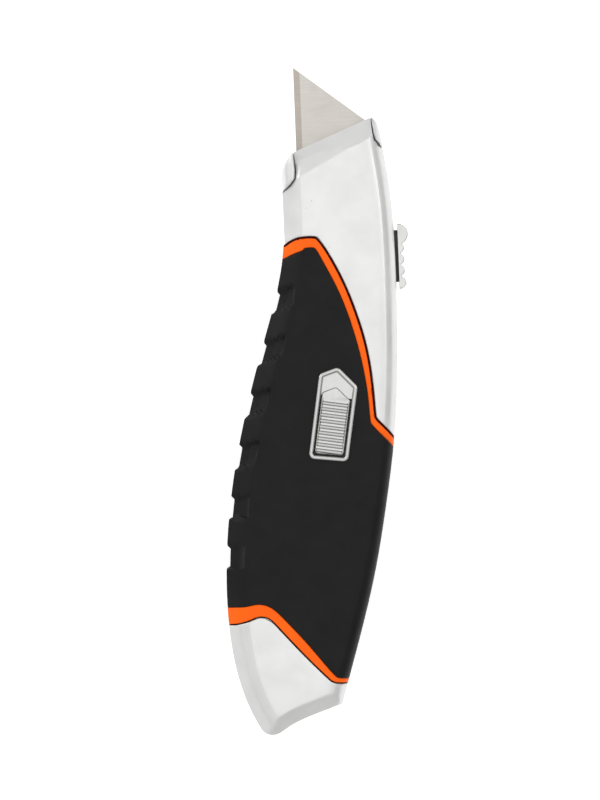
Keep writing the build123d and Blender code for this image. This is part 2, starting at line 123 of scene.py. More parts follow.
class KnifeColours(bpy.types.PropertyGroup):
    """Colours of the knife's finishes."""

    metal: FloatVectorProperty(
        name="Cast metal", description="Satin cast metal", subtype="COLOR", default=(0.66, 0.66, 0.655)
    )
    rubber: FloatVectorProperty(
        name="Rubber", description="Grip rubber", subtype="COLOR", default=(0.0065, 0.0065, 0.0068)
    )
    orange: FloatVectorProperty(
        name="Trim", description="Orange trim", subtype="COLOR", default=(1.0, 0.13, 0.006)
    )
    blade: FloatVectorProperty(
        name="Blade", description="Blade steel", subtype="COLOR", default=(0.50, 0.475, 0.445)
    )
    plastic: FloatVectorProperty(
        name="Inner plastic",
        description="Carrier and tray plastic",
        subtype="COLOR",
        default=(0.045, 0.045, 0.05),
    )


# ---------------------------------------------------------------- outline of the body, mm
def unit(vector):
    """A vector of length one."""
    return np.array(vector, float) / np.linalg.norm(vector)


def smooth_curve(points, leave, arrive, step=0.7):
    """Samples of the smooth curve through points, leaving and arriving in given directions."""
    p = np.array(points, float)
    gaps = np.linalg.norm(np.diff(p, axis=0), axis=1)
    count = len(p)
    matrix = np.eye(count)
    target = np.zeros((count, 2))
    target[0], target[-1] = unit(leave), unit(arrive)
    for i in range(1, count - 1):
        before, after = gaps[i - 1], gaps[i]
        matrix[i, i - 1 : i + 2] = after, 2 * (before + after), before
        target[i] = 3 * (after * (p[i] - p[i - 1]) / before + before * (p[i + 1] - p[i]) / after)
    slope = np.linalg.solve(matrix, target)
    samples = []
    for i, gap in enumerate(gaps):
        for t in np.linspace(0, 1, max(2, int(gap / step)), endpoint=False):
            samples.append(
                (2 * t**3 - 3 * t**2 + 1) * p[i]
                + (t**3 - 2 * t**2 + t) * gap * slope[i]
                + (3 * t**2 - 2 * t**3) * p[i + 1]
                + (t**3 - t**2) * gap * slope[i + 1]
            )
    samples.append(p[-1])
    return samples


def dense(points, step=0.6, closed=False):
    """A polyline with points no further apart than a step."""
    p = [np.array(q, float) for q in points]
    ends = p[1:] + p[:1] if closed else p[1:]
    out = []
    for a, b in zip(p, ends):
        count = max(1, int(math.ceil(np.linalg.norm(b - a) / step)))
        out += [a + (b - a) * k / count for k in range(count)]
    if not closed:
        out.append(p[-1])
    return np.array(out)


NOSE_BELLY, NOSE_SPINE = (-3.9, 66.8), (17.6, 75.5)
NOSE_DIRECTION = unit(np.subtract(NOSE_SPINE, NOSE_BELLY))
NOSE_INWARD = np.array([NOSE_DIRECTION[1], -NOSE_DIRECTION[0]])


def body_outline():
    """The body's outline, clockwise from the belly end of the nose, and the edge each point lies on."""
    nose = dense([(-7.2, 61.5), (-6.3, 63.8), NOSE_BELLY, NOSE_SPINE, (19.0, 73.9), (20.1, 69.5)])
    spine = smooth_curve(
        [
            (20.1, 69.5), (21.9, 55), (22.6, 38), (22.2, 12), (20.4, -11),
            (17.5, -29), (13.8, -47), (8.8, -65), (3.6, -82),
        ],
        (0.13, -1), (-0.3, -1),
    )
    tail = smooth_curve(
        [(3.6, -82.0), (-4, -84.6), (-10, -87.1), (-13.34, -89.13)], (-1, -0.33), (-0.86, -0.52)
    )
    butt = smooth_curve(
        [(-13.34, -89.13), (-15.6, -89.69), (-18.2, -88.55)], (-0.86, -0.52), (-0.75, 0.66), 0.4
    )
    belly = smooth_curve(
        [(-18.2, -88.55), (-22.6, -79), (-26.35, -53), (-22.9, -18), (-13.8, 16), (-7.6, 40), (-7.2, 61.5)],
        (-0.6, 1), (0, 1),
    )
    runs = (("nose", nose), ("spine", spine), ("tail", tail), ("tail", butt), ("belly", belly))
    points = np.array([p for _, run in runs for p in run[:-1]])
    kinds = np.array([kind for kind, run in runs for _ in run[:-1]])
    return points, kinds


OUTLINE, OUTLINE_KIND = body_outline()


def outward(loop):
    """Outward normals of a clockwise closed loop."""
    along = np.roll(loop, -1, axis=0) - np.roll(loop, 1, axis=0)
    along /= np.linalg.norm(along, axis=1)[:, None] + 1e-12
    return np.stack([-along[:, 1], along[:, 0]], axis=1)


OUTLINE_NORMAL = outward(OUTLINE)


def offset_outline(amount):
    """The outline moved outwards by an amount."""
    return OUTLINE + OUTLINE_NORMAL * amount


def distance_to(points, line, closed=False):
    """Distance from each point to a polyline."""
    a = np.array(line, float)
    b = np.roll(a, -1, axis=0)
    if not closed:
        a, b = a[:-1], b[:-1]
    best = np.full(len(points), 1e9)
    for start, end in zip(a, b):
        along = end - start
        t = np.clip(((points - start) @ along) / (along @ along + 1e-12), 0, 1)
        best = np.minimum(best, np.linalg.norm(points - start - t[:, None] * along, axis=1))
    return best


def inside(points, loop):
    """True for each point inside a closed loop."""
    loop = np.array(loop, float)
    x, y = points[:, 0], points[:, 1]
    result = np.zeros(len(points), bool)
    for (x1, y1), (x2, y2) in zip(loop, np.roll(loop, -1, axis=0)):
        if y1 == y2:
            continue
        crosses = (y1 > y) != (y2 > y)
        result ^= crosses & (x < (x2 - x1) * (y - y1) / (y2 - y1) + x1)
    return result


def edge_line(kind):
    """The open run of the outline that lies on one edge."""
    indices = np.flatnonzero(OUTLINE_KIND == kind)
    return OUTLINE[np.append(indices, (indices[-1] + 1) % len(OUTLINE))]


EDGE_LINES = {kind: edge_line(kind) for kind in ("spine", "tail", "belly")}


def positive_part(value, blend):
    """The positive part of a value, with its corner rounded over a blend."""
    return (value + np.sqrt(value * value + blend * blend)) / 2


def eased(t):
    """A share from 0 to 1 with its ends eased."""
    t = np.clip(t, 0, 1)
    return t * t * (3 - 2 * t)


# the belly's bevel turns into two facets between these places
TAIL_START, TAIL_LENGTH = -40, 16
TAIL_WIDENING = 0.7
FACET_WIDTH, FACET_DROP = 2.5, 1.3
OUTER_SLOPE = 0.45
TAIL_BLEND, EDGE_BLEND, SPINE_BLEND = 0.3, 0.5, 0.3
SPINE_SHARE = 0.93


def tailward(y):
    """0 along the grip and nose, rising to 1 at the butt."""
    return eased((TAIL_START - np.asarray(y, float)) / TAIL_LENGTH)


def belly_band(y, sizes):
    """Width of the belly's bevel."""
    return sizes.belly_band + TAIL_WIDENING * tailward(y)


def smooth_max(a, b, blend):
    """The larger of two values, with the ridge between them rounded."""
    return (a + b + np.sqrt((a - b) ** 2 + blend * blend)) / 2 - blend / 4


def edge_drop(points, sizes, blend, spine_radius):
    """How far the skin lies below its flat, from the bevels and the round along the body's edges."""
    to_belly = distance_to(points, EDGE_LINES["belly"])
    to_spine = distance_to(points, EDGE_LINES["spine"])
    to_tail = distance_to(points, EDGE_LINES["tail"])
    band = belly_band(points[:, 1], sizes)
    plain = positive_part(sizes.belly_drop * (1 - to_belly / band), blend)
    inner = positive_part(FACET_DROP * (band - to_belly) / FACET_WIDTH, blend)
    outer = positive_part(OUTER_SLOPE * (band - FACET_WIDTH - to_belly), blend)
    share = tailward(points[:, 1])
    belly = plain * (1 - share) + (inner + outer) * share
    tail = positive_part(sizes.belly_drop * (1 - to_tail / sizes.tail_band), max(blend, TAIL_BLEND))
    reach = np.clip(spine_radius - to_spine, 0, spine_radius)
    spine = spine_radius - np.sqrt(spine_radius**2 - reach**2)
    spine = np.minimum(spine, spine_radius * SPINE_SHARE)
    return smooth_max(smooth_max(belly, tail, EDGE_BLEND), spine, SPINE_BLEND)


LIP_WIDTH, LIP_TAPER, LIP_LENGTH = 6.7, 0.105, 23
LIP_DEPTH, LIP_BLEND = 2.6, 0.04


def lip_band(along):
    """Width of the bevel behind the blade mouth, wider at the belly than at the spine."""
    return LIP_WIDTH - LIP_TAPER * np.clip(along, 0, LIP_LENGTH)


def lip_drop(points):
    """Depth of the bevel behind the blade mouth."""
    from_nose = (points - np.array(NOSE_BELLY)) @ NOSE_INWARD
    along = (points - np.array(NOSE_BELLY)) @ NOSE_DIRECTION
    return positive_part(LIP_DEPTH * (1 - from_nose / lip_band(along)), LIP_BLEND)


def lip_lines():
    """Lines along the rear boundary of the nose's bevel."""
    along = np.arange(-3, LIP_LENGTH + 1, 0.5)
    lines = []
    for shift in (-0.22, 0.0, 0.22):
        reach = lip_band(along) + shift
        lines.append(np.array(NOSE_BELLY) + np.outer(along, NOSE_DIRECTION) + reach[:, None] * NOSE_INWARD)
    return lines


# depths of the rings of points that follow the outline, for a bevel of RING_BEVEL
RING_BEVEL = 5.0
RING_DEPTHS = (0.0, 0.1, 0.35, 0.8, 1.4, 2.1, 2.75, 2.95, 3.9, 4.7, 4.9, 5.0, 5.1, 5.3, 6.2)


def ring_scale(sizes):
    """How wide the edge's shape is at each outline point, against RING_BEVEL."""
    scale = np.where(OUTLINE_KIND == "tail", sizes.tail_band, sizes.spine_round)
    scale = np.where(OUTLINE_KIND == "belly", belly_band(OUTLINE[:, 1], sizes), scale)
    return scale / RING_BEVEL


# ---------------------------------------------------------------- where each material lies, mm
def softened(points, rounds=2):
    """A polyline with its corners cut in rounds, so that gentle bends read as curves."""
    p = np.array(points, float)
    for _ in range(rounds):
        early, late = p[:-1] * 0.75 + p[1:] * 0.25, p[:-1] * 0.25 + p[1:] * 0.75
        inner = np.stack([early, late], axis=1).reshape(-1, 2)
        p = np.vstack([p[:1], inner, p[-1:]])
    return [tuple(q) for q in p]


GRIP_FRONT = softened([
    (-14, 36.8), (-7.7, 38.1), (-5, 39.5), (-2.1, 40.3), (-1.9, 40.9), (0.4, 41.0), (1.3, 40.6),
    (3.1, 37), (6.1, 31), (8.5, 25), (10.3, 19), (11.8, 13), (12.9, 7), (13.7, 1), (14, -6.0),
    (14.3, -7.2), (20, -13.2), (26, -19.5),
])
GRIP_REAR = softened([
    (14, -76), (5.3, -75.1), (3.0, -74.9), (1.8, -74.3), (-5, -65.5), (-10, -59.8), (-13, -56.5),
    (-14.5, -55.3),
    (-16.2, -54.5), (-18.2, -54.2), (-20.5, -54.7), (-23, -55), (-34, -54.6),
])
TRIM_FRONT = softened([
    (-14, 40.8), (-7.1, 41.9), (-6, 42.8), (-4, 43.7), (-2, 44), (1.2, 43.95), (2.1, 43.4), (5, 38.9),
    (9, 30.6),
    (11.9, 22), (13.5, 16), (14.6, 10), (15.3, 3), (15.6, -4.6), (15.9, -5.7), (18.2, -8),
    (20.4, -10.6), (26, -17),
])
TRIM_REAR = softened([
    (14, -77.2), (4.9, -76.5), (2.5, -76.4), (1, -75.9), (0, -75), (-5, -69.8), (-10, -64.2), (-14, -59.5),
    (-15.5, -58.2), (-17.2, -57.8), (-18.6, -57.95), (-20, -58.6), (-22, -59.2), (-24.5, -59.7), (-36, -59.7),
])
BELLY_SEAM = [(-3.9, 68), (-3.65, 64), (-3.45, 61.5), (-3.6, 59.8), (-4.2, 58.7), (-5.2, 57.6), (-8, 55.4)]
SPINE_SEAM = [(17.6, 77), (17.7, 75), (17.95, 71.3), (18.2, 69.9), (18.7, 69.0), (20.5, 67.0), (24, 65)]
BEZEL_RADIUS, BUTTON_RADIUS = 1.6, 1.0
BEZEL_CORNERS = [(0.8, 7.0), (6.0, 8.7), (11.1, 3.2), (7.7, -17.0), (-3.0, -15.7)]
BUTTON_CORNERS = [(1.4, 2.0), (5.3, 3.3), (8.95, -0.5), (6.5, -15.35), (-1.35, -14.35)]
LATCH_LEAN = math.radians(9.5)
LATCH_CENTRE = np.array([3.9, -6.8])
LATCH_FORWARD = np.array([math.sin(LATCH_LEAN), math.cos(LATCH_LEAN)])
LATCH_SIDE = np.array([math.cos(LATCH_LEAN), -math.sin(LATCH_LEAN)])

# each finger groove's corners: the front end from the silhouette inwards, then the rear end outwards
FINGER_GROOVES = [
    [(-12.6, 28.9), (-4.3, 31.5), (-5.2, 25.7), (-14.6, 22.4)],
    [(-17.4, 15.2), (-7.3, 18.0), (-9.1, 12.0), (-19.2, 8.5)],
    [(-21.5, 1.9), (-11.7, 4.0), (-13.5, -2.2), (-23.4, -5.2)],
    [(-25.3, -11.8), (-15.3, -10.0), (-17.2, -16.4), (-26.6, -18.9)],
    [(-28.4, -25.0), (-18.9, -24.8), (-19.6, -31.0), (-29.2, -31.5)],
    [(-29.8, -38.0), (-20.7, -38.1), (-21.3, -44.7), (-30.2, -44.5)],
]


def shifted(line, amount):
    """A left-to-right line moved up its own normal."""
    p = dense(line, 1.0)
    along = np.gradient(p, axis=0)
    along /= np.linalg.norm(along, axis=1)[:, None]
    return p + np.stack([-along[:, 1], along[:, 0]], axis=1) * amount


def rounded_loop(corners, radius, inset=0.0, steps=6):
    """A closed loop with its corners rounded, drawn in by an inset."""
    p = np.array(corners, float)
    if np.sum(np.cross(p, np.roll(p, -1, axis=0))) < 0:
        p = p[::-1]
    count = len(p)
    moved = []
    for i in range(count):
        before, after = unit(p[i] - p[i - 1]), unit(p[(i + 1) % count] - p[i])
        n1, n2 = np.array([-before[1], before[0]]), np.array([-after[1], after[0]])
        moved.append(p[i] + inset * (n1 + n2) / (1 + n1 @ n2))
    radius = max(radius - inset, 0.15)
    loop = []
    for i in range(count):
        corner = moved[i]
        before, after = unit(corner - moved[i - 1]), unit(moved[(i + 1) % count] - corner)
        n1, n2 = np.array([-before[1], before[0]]), np.array([-after[1], after[0]])
        centre = corner + radius * (n1 + n2) / (1 + n1 @ n2)
        turn = math.acos(np.clip(before @ after, -1, 1))
        first = math.atan2(-n1[1], -n1[0])
        for k in range(steps + 1):
            angle = first + turn * k / steps
            loop.append(centre + radius * np.array([math.cos(angle), math.sin(angle)]))
    return np.array(loop)


# ---------------------------------------------------------------- mesh helpers
def new_object(name, verts, faces, material):
    """A mesh object at the origin from vertices in millimetres."""
    mesh = bpy.data.meshes.new(name)
    mesh.from_pydata([tuple(np.asarray(v, float) * MM) for v in verts], [], [tuple(f) for f in faces])
    mesh.validate()
    piece = bpy.data.objects.new(name, mesh)
    bpy.context.scene.collection.objects.link(piece)
    mesh.materials.append(material)
    return piece


def tidy_mesh(piece, merge=1e-6, turn_outwards=True):
    """Merges doubles and, unless the faces already do, makes them point outwards."""
    bm = bmesh.new()
    bm.from_mesh(piece.data)
    bmesh.ops.remove_doubles(bm, verts=bm.verts, dist=merge)
    if turn_outwards:
        bmesh.ops.recalc_face_normals(bm, faces=bm.faces)
    bm.to_mesh(piece.data)
    bm.free()


def apply_modifiers(piece):
    """Makes the modified shape the piece's own plain mesh."""
    graph = bpy.context.evaluated_depsgraph_get()
    mesh = bpy.data.meshes.new_from_object(piece.evaluated_get(graph))
    piece.modifiers.clear()
    old = piece.data
    piece.data = mesh
    mesh.name = old.name
    bpy.data.meshes.remove(old)


def require_closed(piece):
    """Stops the script if a piece isn't closed, because a cut with it would do nothing."""
    bm = bmesh.new()
    bm.from_mesh(piece.data)
    open_edges = sum(1 for edge in bm.edges if not edge.is_manifold)
    bm.free()
    if open_edges or not piece.data.polygons:
        raise RuntimeError(f"{piece.name} isn't closed: {open_edges} open edges")


def cut(piece, other, operation, keep_other=False):
    """Combines a piece with another closed one."""
    for each in (piece, other):
        require_closed(each)
    step = piece.modifiers.new("Cut", "BOOLEAN")
    step.object = other
    step.operation = operation
    step.solver = "MANIFOLD"
    apply_modifiers(piece)
    if not keep_other:
        bpy.data.objects.remove(other)


def finish_shading(piece, angle=32):
    """Smooth faces with sharp edges kept, and flats that stay flat."""
    mesh = piece.data
    mesh.polygons.foreach_set("use_smooth", [True] * len(mesh.polygons))
    mesh.set_sharp_from_angle(angle=math.radians(angle))
    weighted = piece.modifiers.new("Weighted", "WEIGHTED_NORMAL")
    weighted.keep_sharp = True
    weighted.weight = 80
    apply_modifiers(piece)


def prism(name, loop, low, high, material):
    """A closed prism over a counter-clockwise or clockwise loop."""
    loop = np.array(loop)
    count = len(loop)
    verts = [(x, y, low) for x, y in loop] + [(x, y, high) for x, y in loop]
    faces = [tuple(range(count)), tuple(range(2 * count - 1, count - 1, -1))]
    faces += [(i, i + count, (i + 1) % count + count, (i + 1) % count) for i in range(count)]
    piece = new_object(name, verts, faces, material)
    tidy_mesh(piece)
    return piece


# how far points keep from a region's edge: the rings, the nose's lines and the grid
RING_GAP, LIP_GAP, GRID_GAP = 0.25, 0.3, 0.9
# how far the nose's lines and the grid keep inside the outline
LIP_INSET, GRID_INSET = 0.4, 6.8
# shares of its own distance at which an offset point still counts as clear of its line
INSET_SHARE, RING_SHARE = 0.8, 0.97


def skin_block(name, region, top, bottom, material, side_shift=None, cell=2.2, inset_lines=(0.0,)):
    """A closed block over the part of the body inside a region.
    top gives each plan point's height, side_shift moves the plan's points, and bottom is flat."""
    scale = ring_scale(bpy.context.scene.knife_sizes)
    region = np.array(region)
    verts, edges = [], []

    def add_line(points, closed=True):
        first = len(verts)
        verts.extend(points)
        count = len(points)
        for i in range(count if closed else count - 1):
            edges.append((first + i, first + (i + 1) % count))

    region_side = -1.0 if np.sum(np.cross(region, np.roll(region, -1, axis=0))) > 0 else 1.0
    region_dense = dense(region, 0.7, closed=True)
    normals = outward(region_dense) * region_side
    body = offset_outline(-SKIN_INSET)
    for distance in inset_lines:
        line = region_dense - normals * distance
        if not distance:
            add_line(line)
            continue
        keep = inside(line, offset_outline(2.0)) & inside(line, region)
        keep &= distance_to(line, region_dense, closed=True) > distance * INSET_SHARE
        verts.extend(line[keep])
    for depth in RING_DEPTHS:
        line = body - OUTLINE_NORMAL * (depth * scale)[:, None]
        if not depth:
            add_line(line)
            continue
        keep = inside(line, region) & (distance_to(line, body, closed=True) > depth * scale * RING_SHARE)
        keep &= distance_to(line, region_dense, closed=True) > RING_GAP
        verts.extend(line[keep])
    for line in lip_lines():
        keep = inside(line, region) & (distance_to(line, region_dense, closed=True) > LIP_GAP)
        keep &= inside(line, offset_outline(-LIP_INSET))
        if keep.any():
            add_line(line[keep], closed=False)
    low, high = region.min(axis=0), region.max(axis=0)
    grid = np.array([
        (x, y)
        for x in np.arange(max(low[0], -27), min(high[0], 27), cell)
        for y in np.arange(max(low[1], -90), min(high[1], 90), cell)
    ])
    keep = inside(grid, region) & inside(grid, offset_outline(-GRID_INSET))
    keep &= distance_to(grid, region_dense, closed=True) > GRID_GAP
    verts.extend(grid[keep])
    made = delaunay_2d_cdt([Vector(v) for v in verts], edges, [], 0, 1e-4)
    plan = np.array([tuple(v) for v in made[0]])
    tris = np.array(made[2])
    centres = plan[tris].mean(axis=1)
    tris = tris[inside(centres, region) & inside(centres, body)]
    tris = without_pinches(largest_patch(tris))
    used, flat = np.unique(tris, return_inverse=True)
    tris = flat.reshape(-1, 3)
    plan = plan[used]
    area = np.cross(plan[tris[:, 1]] - plan[tris[:, 0]], plan[tris[:, 2]] - plan[tris[:, 0]])
    tris[area < 0] = tris[area < 0][:, ::-1]
    heights = top(plan)
    moved = plan if side_shift is None else side_shift(plan)
    count = len(plan)
    verts = [(*moved[i], heights[i]) for i in range(count)] + [(*moved[i], bottom) for i in range(count)]
    sides = {(int(tri[i]), int(tri[(i + 1) % 3])) for tri in tris for i in range(3)}
    faces = [tuple(tri) for tri in tris] + [tuple(tri[::-1] + count) for tri in tris]
    faces += [(b, a, a + count, b + count) for a, b in sides if (b, a) not in sides]
    return new_object(name, verts, faces, material)


def largest_patch(tris):
    """The largest set of triangles that hang together by their edges."""
    owners = {}
    for index, tri in enumerate(tris):
        for i in range(3):
            owners.setdefault(frozenset((int(tri[i]), int(tri[(i + 1) % 3]))), []).append(index)
    neighbours = [[] for _ in tris]
    for pair in owners.values():
        if len(pair) == 2:
            neighbours[pair[0]].append(pair[1])
            neighbours[pair[1]].append(pair[0])
    best, seen = [], set()
    for first in range(len(tris)):
        if first in seen:
            continue
        seen.add(first)
        patch = [first]
        for index in patch:
            fresh = [n for n in neighbours[index] if n not in seen]
            seen.update(fresh)
            patch += fresh
        if len(patch) > len(best):
            best = patch
    return tris[sorted(best)]


def without_pinches(tris):
    """The triangles without those at a vertex where two runs of the border meet."""
    while True:
        sides = [(int(tri[i]), int(tri[(i + 1) % 3])) for tri in tris for i in range(3)]
        pairs = {}
        for a, b in sides:
            pairs[frozenset((a, b))] = pairs.get(frozenset((a, b)), 0) + 1
        border = [pair for pair, uses in pairs.items() if uses == 1]
        visits = {}
        for pair in border:
            for vertex in pair:
                visits[vertex] = visits.get(vertex, 0) + 1
        pinched = [vertex for vertex, count in visits.items() if count > 2]
        if not pinched:
            return tris
        on_border = {vertex for pair in border for vertex in pair}
        drop = [
            bool(set(map(int, tri)) & set(pinched)) and len(set(map(int, tri)) & on_border) > 1
            for tri in tris
        ]
        tris = largest_patch(tris[~np.array(drop)])


def mirrored(piece):
    """Mirrors a piece in the parting plane and keeps its faces outwards."""
    bm = bmesh.new()
    bm.from_mesh(piece.data)
    for vertex in bm.verts:
        vertex.co.z = 2 * PARTING * MM - vertex.co.z
    bmesh.ops.reverse_faces(bm, faces=bm.faces)
    bm.to_mesh(piece.data)
    bm.free()
    return piece


def merged_copy(node, name):
    """A welded copy of a CAD node to cut from."""
    piece = bpy.data.objects.new(name, NODES[node].data.copy())
    bpy.context.scene.collection.objects.link(piece)
    piece.data.materials.clear()
    tidy_mesh(piece, turn_outwards=False)
    return piece


def break_edge(distance, radius):
    """Drop of a rounded edge at a distance in from it."""
    reach = np.clip(radius - distance, 0, radius)
    return radius - np.sqrt(np.maximum(radius**2 - reach**2, 0))


# ---------------------------------------------------------------- materials
def node_material(name, colour, metallic, roughness):
    """A material with its shader, Object coordinates and a helper to add nodes."""
    material = bpy.data.materials.new(name)
    material.use_nodes = True
    tree = material.node_tree
    shader = tree.nodes["Principled BSDF"]
    shader.inputs["Base Color"].default_value = (*colour, 1)
    shader.inputs["Metallic"].default_value = metallic
    shader.inputs["Roughness"].default_value = roughness
    place = tree.nodes.new("ShaderNodeTexCoord")
    return material, tree, shader, place.outputs["Object"]


def noise(tree, place, scale, detail=4.0, stretch=(1, 1, 1)):
    """Noise on stretched Object coordinates."""
    mapping = tree.nodes.new("ShaderNodeMapping")
    mapping.inputs["Scale"].default_value = stretch
    tree.links.new(place, mapping.inputs["Vector"])
    texture = tree.nodes.new("ShaderNodeTexNoise")
    texture.inputs["Scale"].default_value = scale
    texture.inputs["Detail"].default_value = detail
    tree.links.new(mapping.outputs["Vector"], texture.inputs["Vector"])
    return texture.outputs["Fac"]


def ramp(tree, source, stops):
    """A colour ramp over (place, colour) stops."""
    node = tree.nodes.new("ShaderNodeValToRGB")
    elements = node.color_ramp.elements
    while len(elements) < len(stops):
        elements.new(0.5)
    for element, (place, colour) in zip(elements, stops):
        element.position = place
        element.color = (*colour, 1) if len(colour) == 3 else colour
    tree.links.new(source, node.inputs["Fac"])
    return node.outputs["Color"]


def grey(value):
    """A grey of one value."""
    return (value, value, value)


def tinted(colour, factor):
    """A colour made lighter or darker by a factor."""
    return tuple(min(1.0, c * factor) for c in colour)


def vary(tree, place, scale, detail, low, high, socket):
    """Varies a shader's socket between two colours with noise."""
    tree.links.new(ramp(tree, noise(tree, place, scale, detail), [(0.3, low), (0.7, high)]), socket)


def add_bump(tree, shader, source, distance, strength=1.0, before=None):
    """A bump whose height is given in millimetres."""
    bump = tree.nodes.new("ShaderNodeBump")
    bump.inputs["Distance"].default_value = distance * MM
    bump.inputs["Strength"].default_value = strength
    tree.links.new(source, bump.inputs["Height"])
    if before:
        tree.links.new(before, bump.inputs["Normal"])
    tree.links.new(bump.outputs["Normal"], shader.inputs["Normal"])
    return bump.outputs["Normal"]


def cast_metal(colour):
    """Satin cast metal: a sandy grain, faint mottling and a few casting pits, which are also darkened in
    colour as painted shade.
    """
    material, tree, shader, place = node_material("cast_metal", colour, 0.55, 0.34)
    tones = [(0.3, tinted(colour, 0.97)), (0.7, tinted(colour, 1.03))]
    mottle = ramp(tree, noise(tree, place, 90, 3), tones)
    first = add_bump(tree, shader, noise(tree, place, 3200, 2), 0.014, 0.6)
    pits = tree.nodes.new("ShaderNodeTexVoronoi")
    pits.inputs["Scale"].default_value = 420
    tree.links.new(place, pits.inputs["Vector"])
    holes = ramp(tree, pits.outputs["Distance"], [(0.02, grey(0.0)), (0.10, grey(1.0))])
    rare = ramp(tree, noise(tree, place, 70, 3), [(0.56, grey(1.0)), (0.64, grey(0.0))])
    sound = tree.nodes.new("ShaderNodeMath")
    sound.operation = "MAXIMUM"
    tree.links.new(holes, sound.inputs[0])
    tree.links.new(rare, sound.inputs[1])
    # the pits' colour drops to 0.45 of the metal's: painted shade inside the pits
    shade = tree.nodes.new("ShaderNodeMix")
    shade.data_type = "RGBA"
    shade.inputs["A"].default_value = (*tinted(colour, 0.45), 1)
    tree.links.new(sound.outputs["Value"], shade.inputs["Factor"])
    tree.links.new(mottle, shade.inputs["B"])
    tree.links.new(shade.outputs["Result"], shader.inputs["Base Color"])
    add_bump(tree, shader, sound.outputs["Value"], 0.04, 0.5, first)
    vary(tree, place, 240, 5, grey(0.28), grey(0.40), shader.inputs["Roughness"])
    return material


def grip_rubber(colour):
    """Matt moulded rubber with a fine grain."""
    material, tree, shader, place = node_material("grip_rubber", colour, 0.0, 0.6)
    vary(tree, place, 140, 4, tinted(colour, 0.85), tinted(colour, 1.2), shader.inputs["Base Color"])
    shader.inputs["Specular IOR Level"].default_value = 0.14
    add_bump(tree, shader, noise(tree, place, 5200, 2), 0.008, 0.5)
    vary(tree, place, 300, 4, grey(0.40), grey(0.50), shader.inputs["Roughness"])
    return material


def orange_trim(colour):
    """Smooth orange rubber."""
    material, tree, shader, place = node_material("orange_trim", colour, 0.0, 0.42)
    vary(tree, place, 180, 4, tinted(colour, 0.94), tinted(colour, 1.04), shader.inputs["Base Color"])
    shader.inputs["Specular IOR Level"].default_value = 0.08
    add_bump(tree, shader, noise(tree, place, 3600, 2), 0.006, 0.4)
    return material


def trim_groove():
    """Painted shade: a dark red colour for the foot of the groove beside the trim, where the orange wall lies
    in shadow.
    """
    material, tree, shader, place = node_material("trim_groove", (0.05, 0.003, 0.001), 0.0, 0.7)
    vary(tree, place, 180, 4, (0.04, 0.002, 0.001), (0.075, 0.005, 0.001), shader.inputs["Base Color"])
    shader.inputs["Specular IOR Level"].default_value = 0.1
    return material


def bright_plate(name, colour, roughness):
    """Bright plated metal with faint handling marks."""
    material, tree, shader, place = node_material(name, colour, 0.9, roughness)
    rough = ramp(
        tree, noise(tree, place, 420, 5, (1, 0.25, 1)),
        [(0.3, grey(roughness * 0.7)), (0.75, grey(roughness * 1.5))],
    )
    tree.links.new(rough, shader.inputs["Roughness"])
    vary(tree, place, 200, 3, tinted(colour, 0.96), colour, shader.inputs["Base Color"])
    add_bump(tree, shader, noise(tree, place, 900, 3), 0.004, 0.4)
    return material


def steel_finish(name, colour, roughness, stretch):
    """Ground steel with fine lines along one direction."""
    material, tree, shader, place = node_material(name, colour, 0.75, roughness)
    lines = noise(tree, place, 2600, 3, stretch)
    tones = [(0.3, tinted(colour, 0.95)), (0.7, tinted(colour, 1.03))]
    tree.links.new(ramp(tree, lines, tones), shader.inputs["Base Color"])
    add_bump(tree, shader, lines, 0.004, 0.5)
    vary(tree, place, 160, 4, grey(roughness * 0.8), grey(roughness * 1.2), shader.inputs["Roughness"])
    return material


def dark_plastic(colour):
    """Moulded inner plastic with a light spark texture."""
    material, tree, shader, place = node_material("dark_plastic", colour, 0.0, 0.48)
    vary(tree, place, 200, 3, tinted(colour, 0.9), tinted(colour, 1.15), shader.inputs["Base Color"])
    add_bump(tree, shader, noise(tree, place, 4200, 2), 0.008, 0.5)
    return material


FINISHES = {}


def finish(name):
    """The named finish, made on first use and kept apart from the frame's own plain materials."""
    if name in FINISHES:
        return FINISHES[name]
    colours = bpy.context.scene.knife_colours
    makers = {
        "cast_metal": lambda: cast_metal(tuple(colours.metal)),
        "grip_rubber": lambda: grip_rubber(tuple(colours.rubber)),
        "orange_trim": lambda: orange_trim(tuple(colours.orange)),
        "trim_groove": trim_groove,
        "bright_plate": lambda: bright_plate("bright_plate", (0.52, 0.52, 0.51), 0.2),
        "thumb_metal": lambda: bright_plate("thumb_metal", (0.56, 0.56, 0.55), 0.26),
        "steel_hardware": lambda: steel_finish("steel_hardware", (0.52, 0.52, 0.53), 0.32, (1, 0.1, 1)),
        "blade_steel": lambda: steel_finish("blade_steel", tuple(colours.blade), 0.34, (0.08, 1, 1)),
        "blade_ground": lambda: steel_finish("blade_ground", (0.42, 0.38, 0.335), 0.45, (0.06, 1, 1)),
        "dark_plastic": lambda: dark_plastic(tuple(colours.plastic)),
    }
    FINISHES[name] = makers[name]()
    FINISHES[name].name = name + "_finish"
    return FINISHES[name]


# ---------------------------------------------------------------- heights of the three skins
def silver_top():
    """Height of the bare metal skin."""
    sizes = bpy.context.scene.knife_sizes

    def top(points):
        drop = edge_drop(points, sizes, SILVER_BLEND, sizes.spine_round)
        return PARTING + SILVER_RISE - SKIN_INSET - drop - lip_drop(points)

    return top


def zone_top(region, rise, blend, spine_radius):
    """Height of a skin inside a region, with its edges broken."""
    sizes = bpy.context.scene.knife_sizes
    line = dense(region, 0.5, closed=True)

    def top(points):
        drop = edge_drop(points, sizes, blend, spine_radius)
        return PARTING + rise - drop - break_edge(distance_to(points, line, closed=True), sizes.edge_break)

    return top


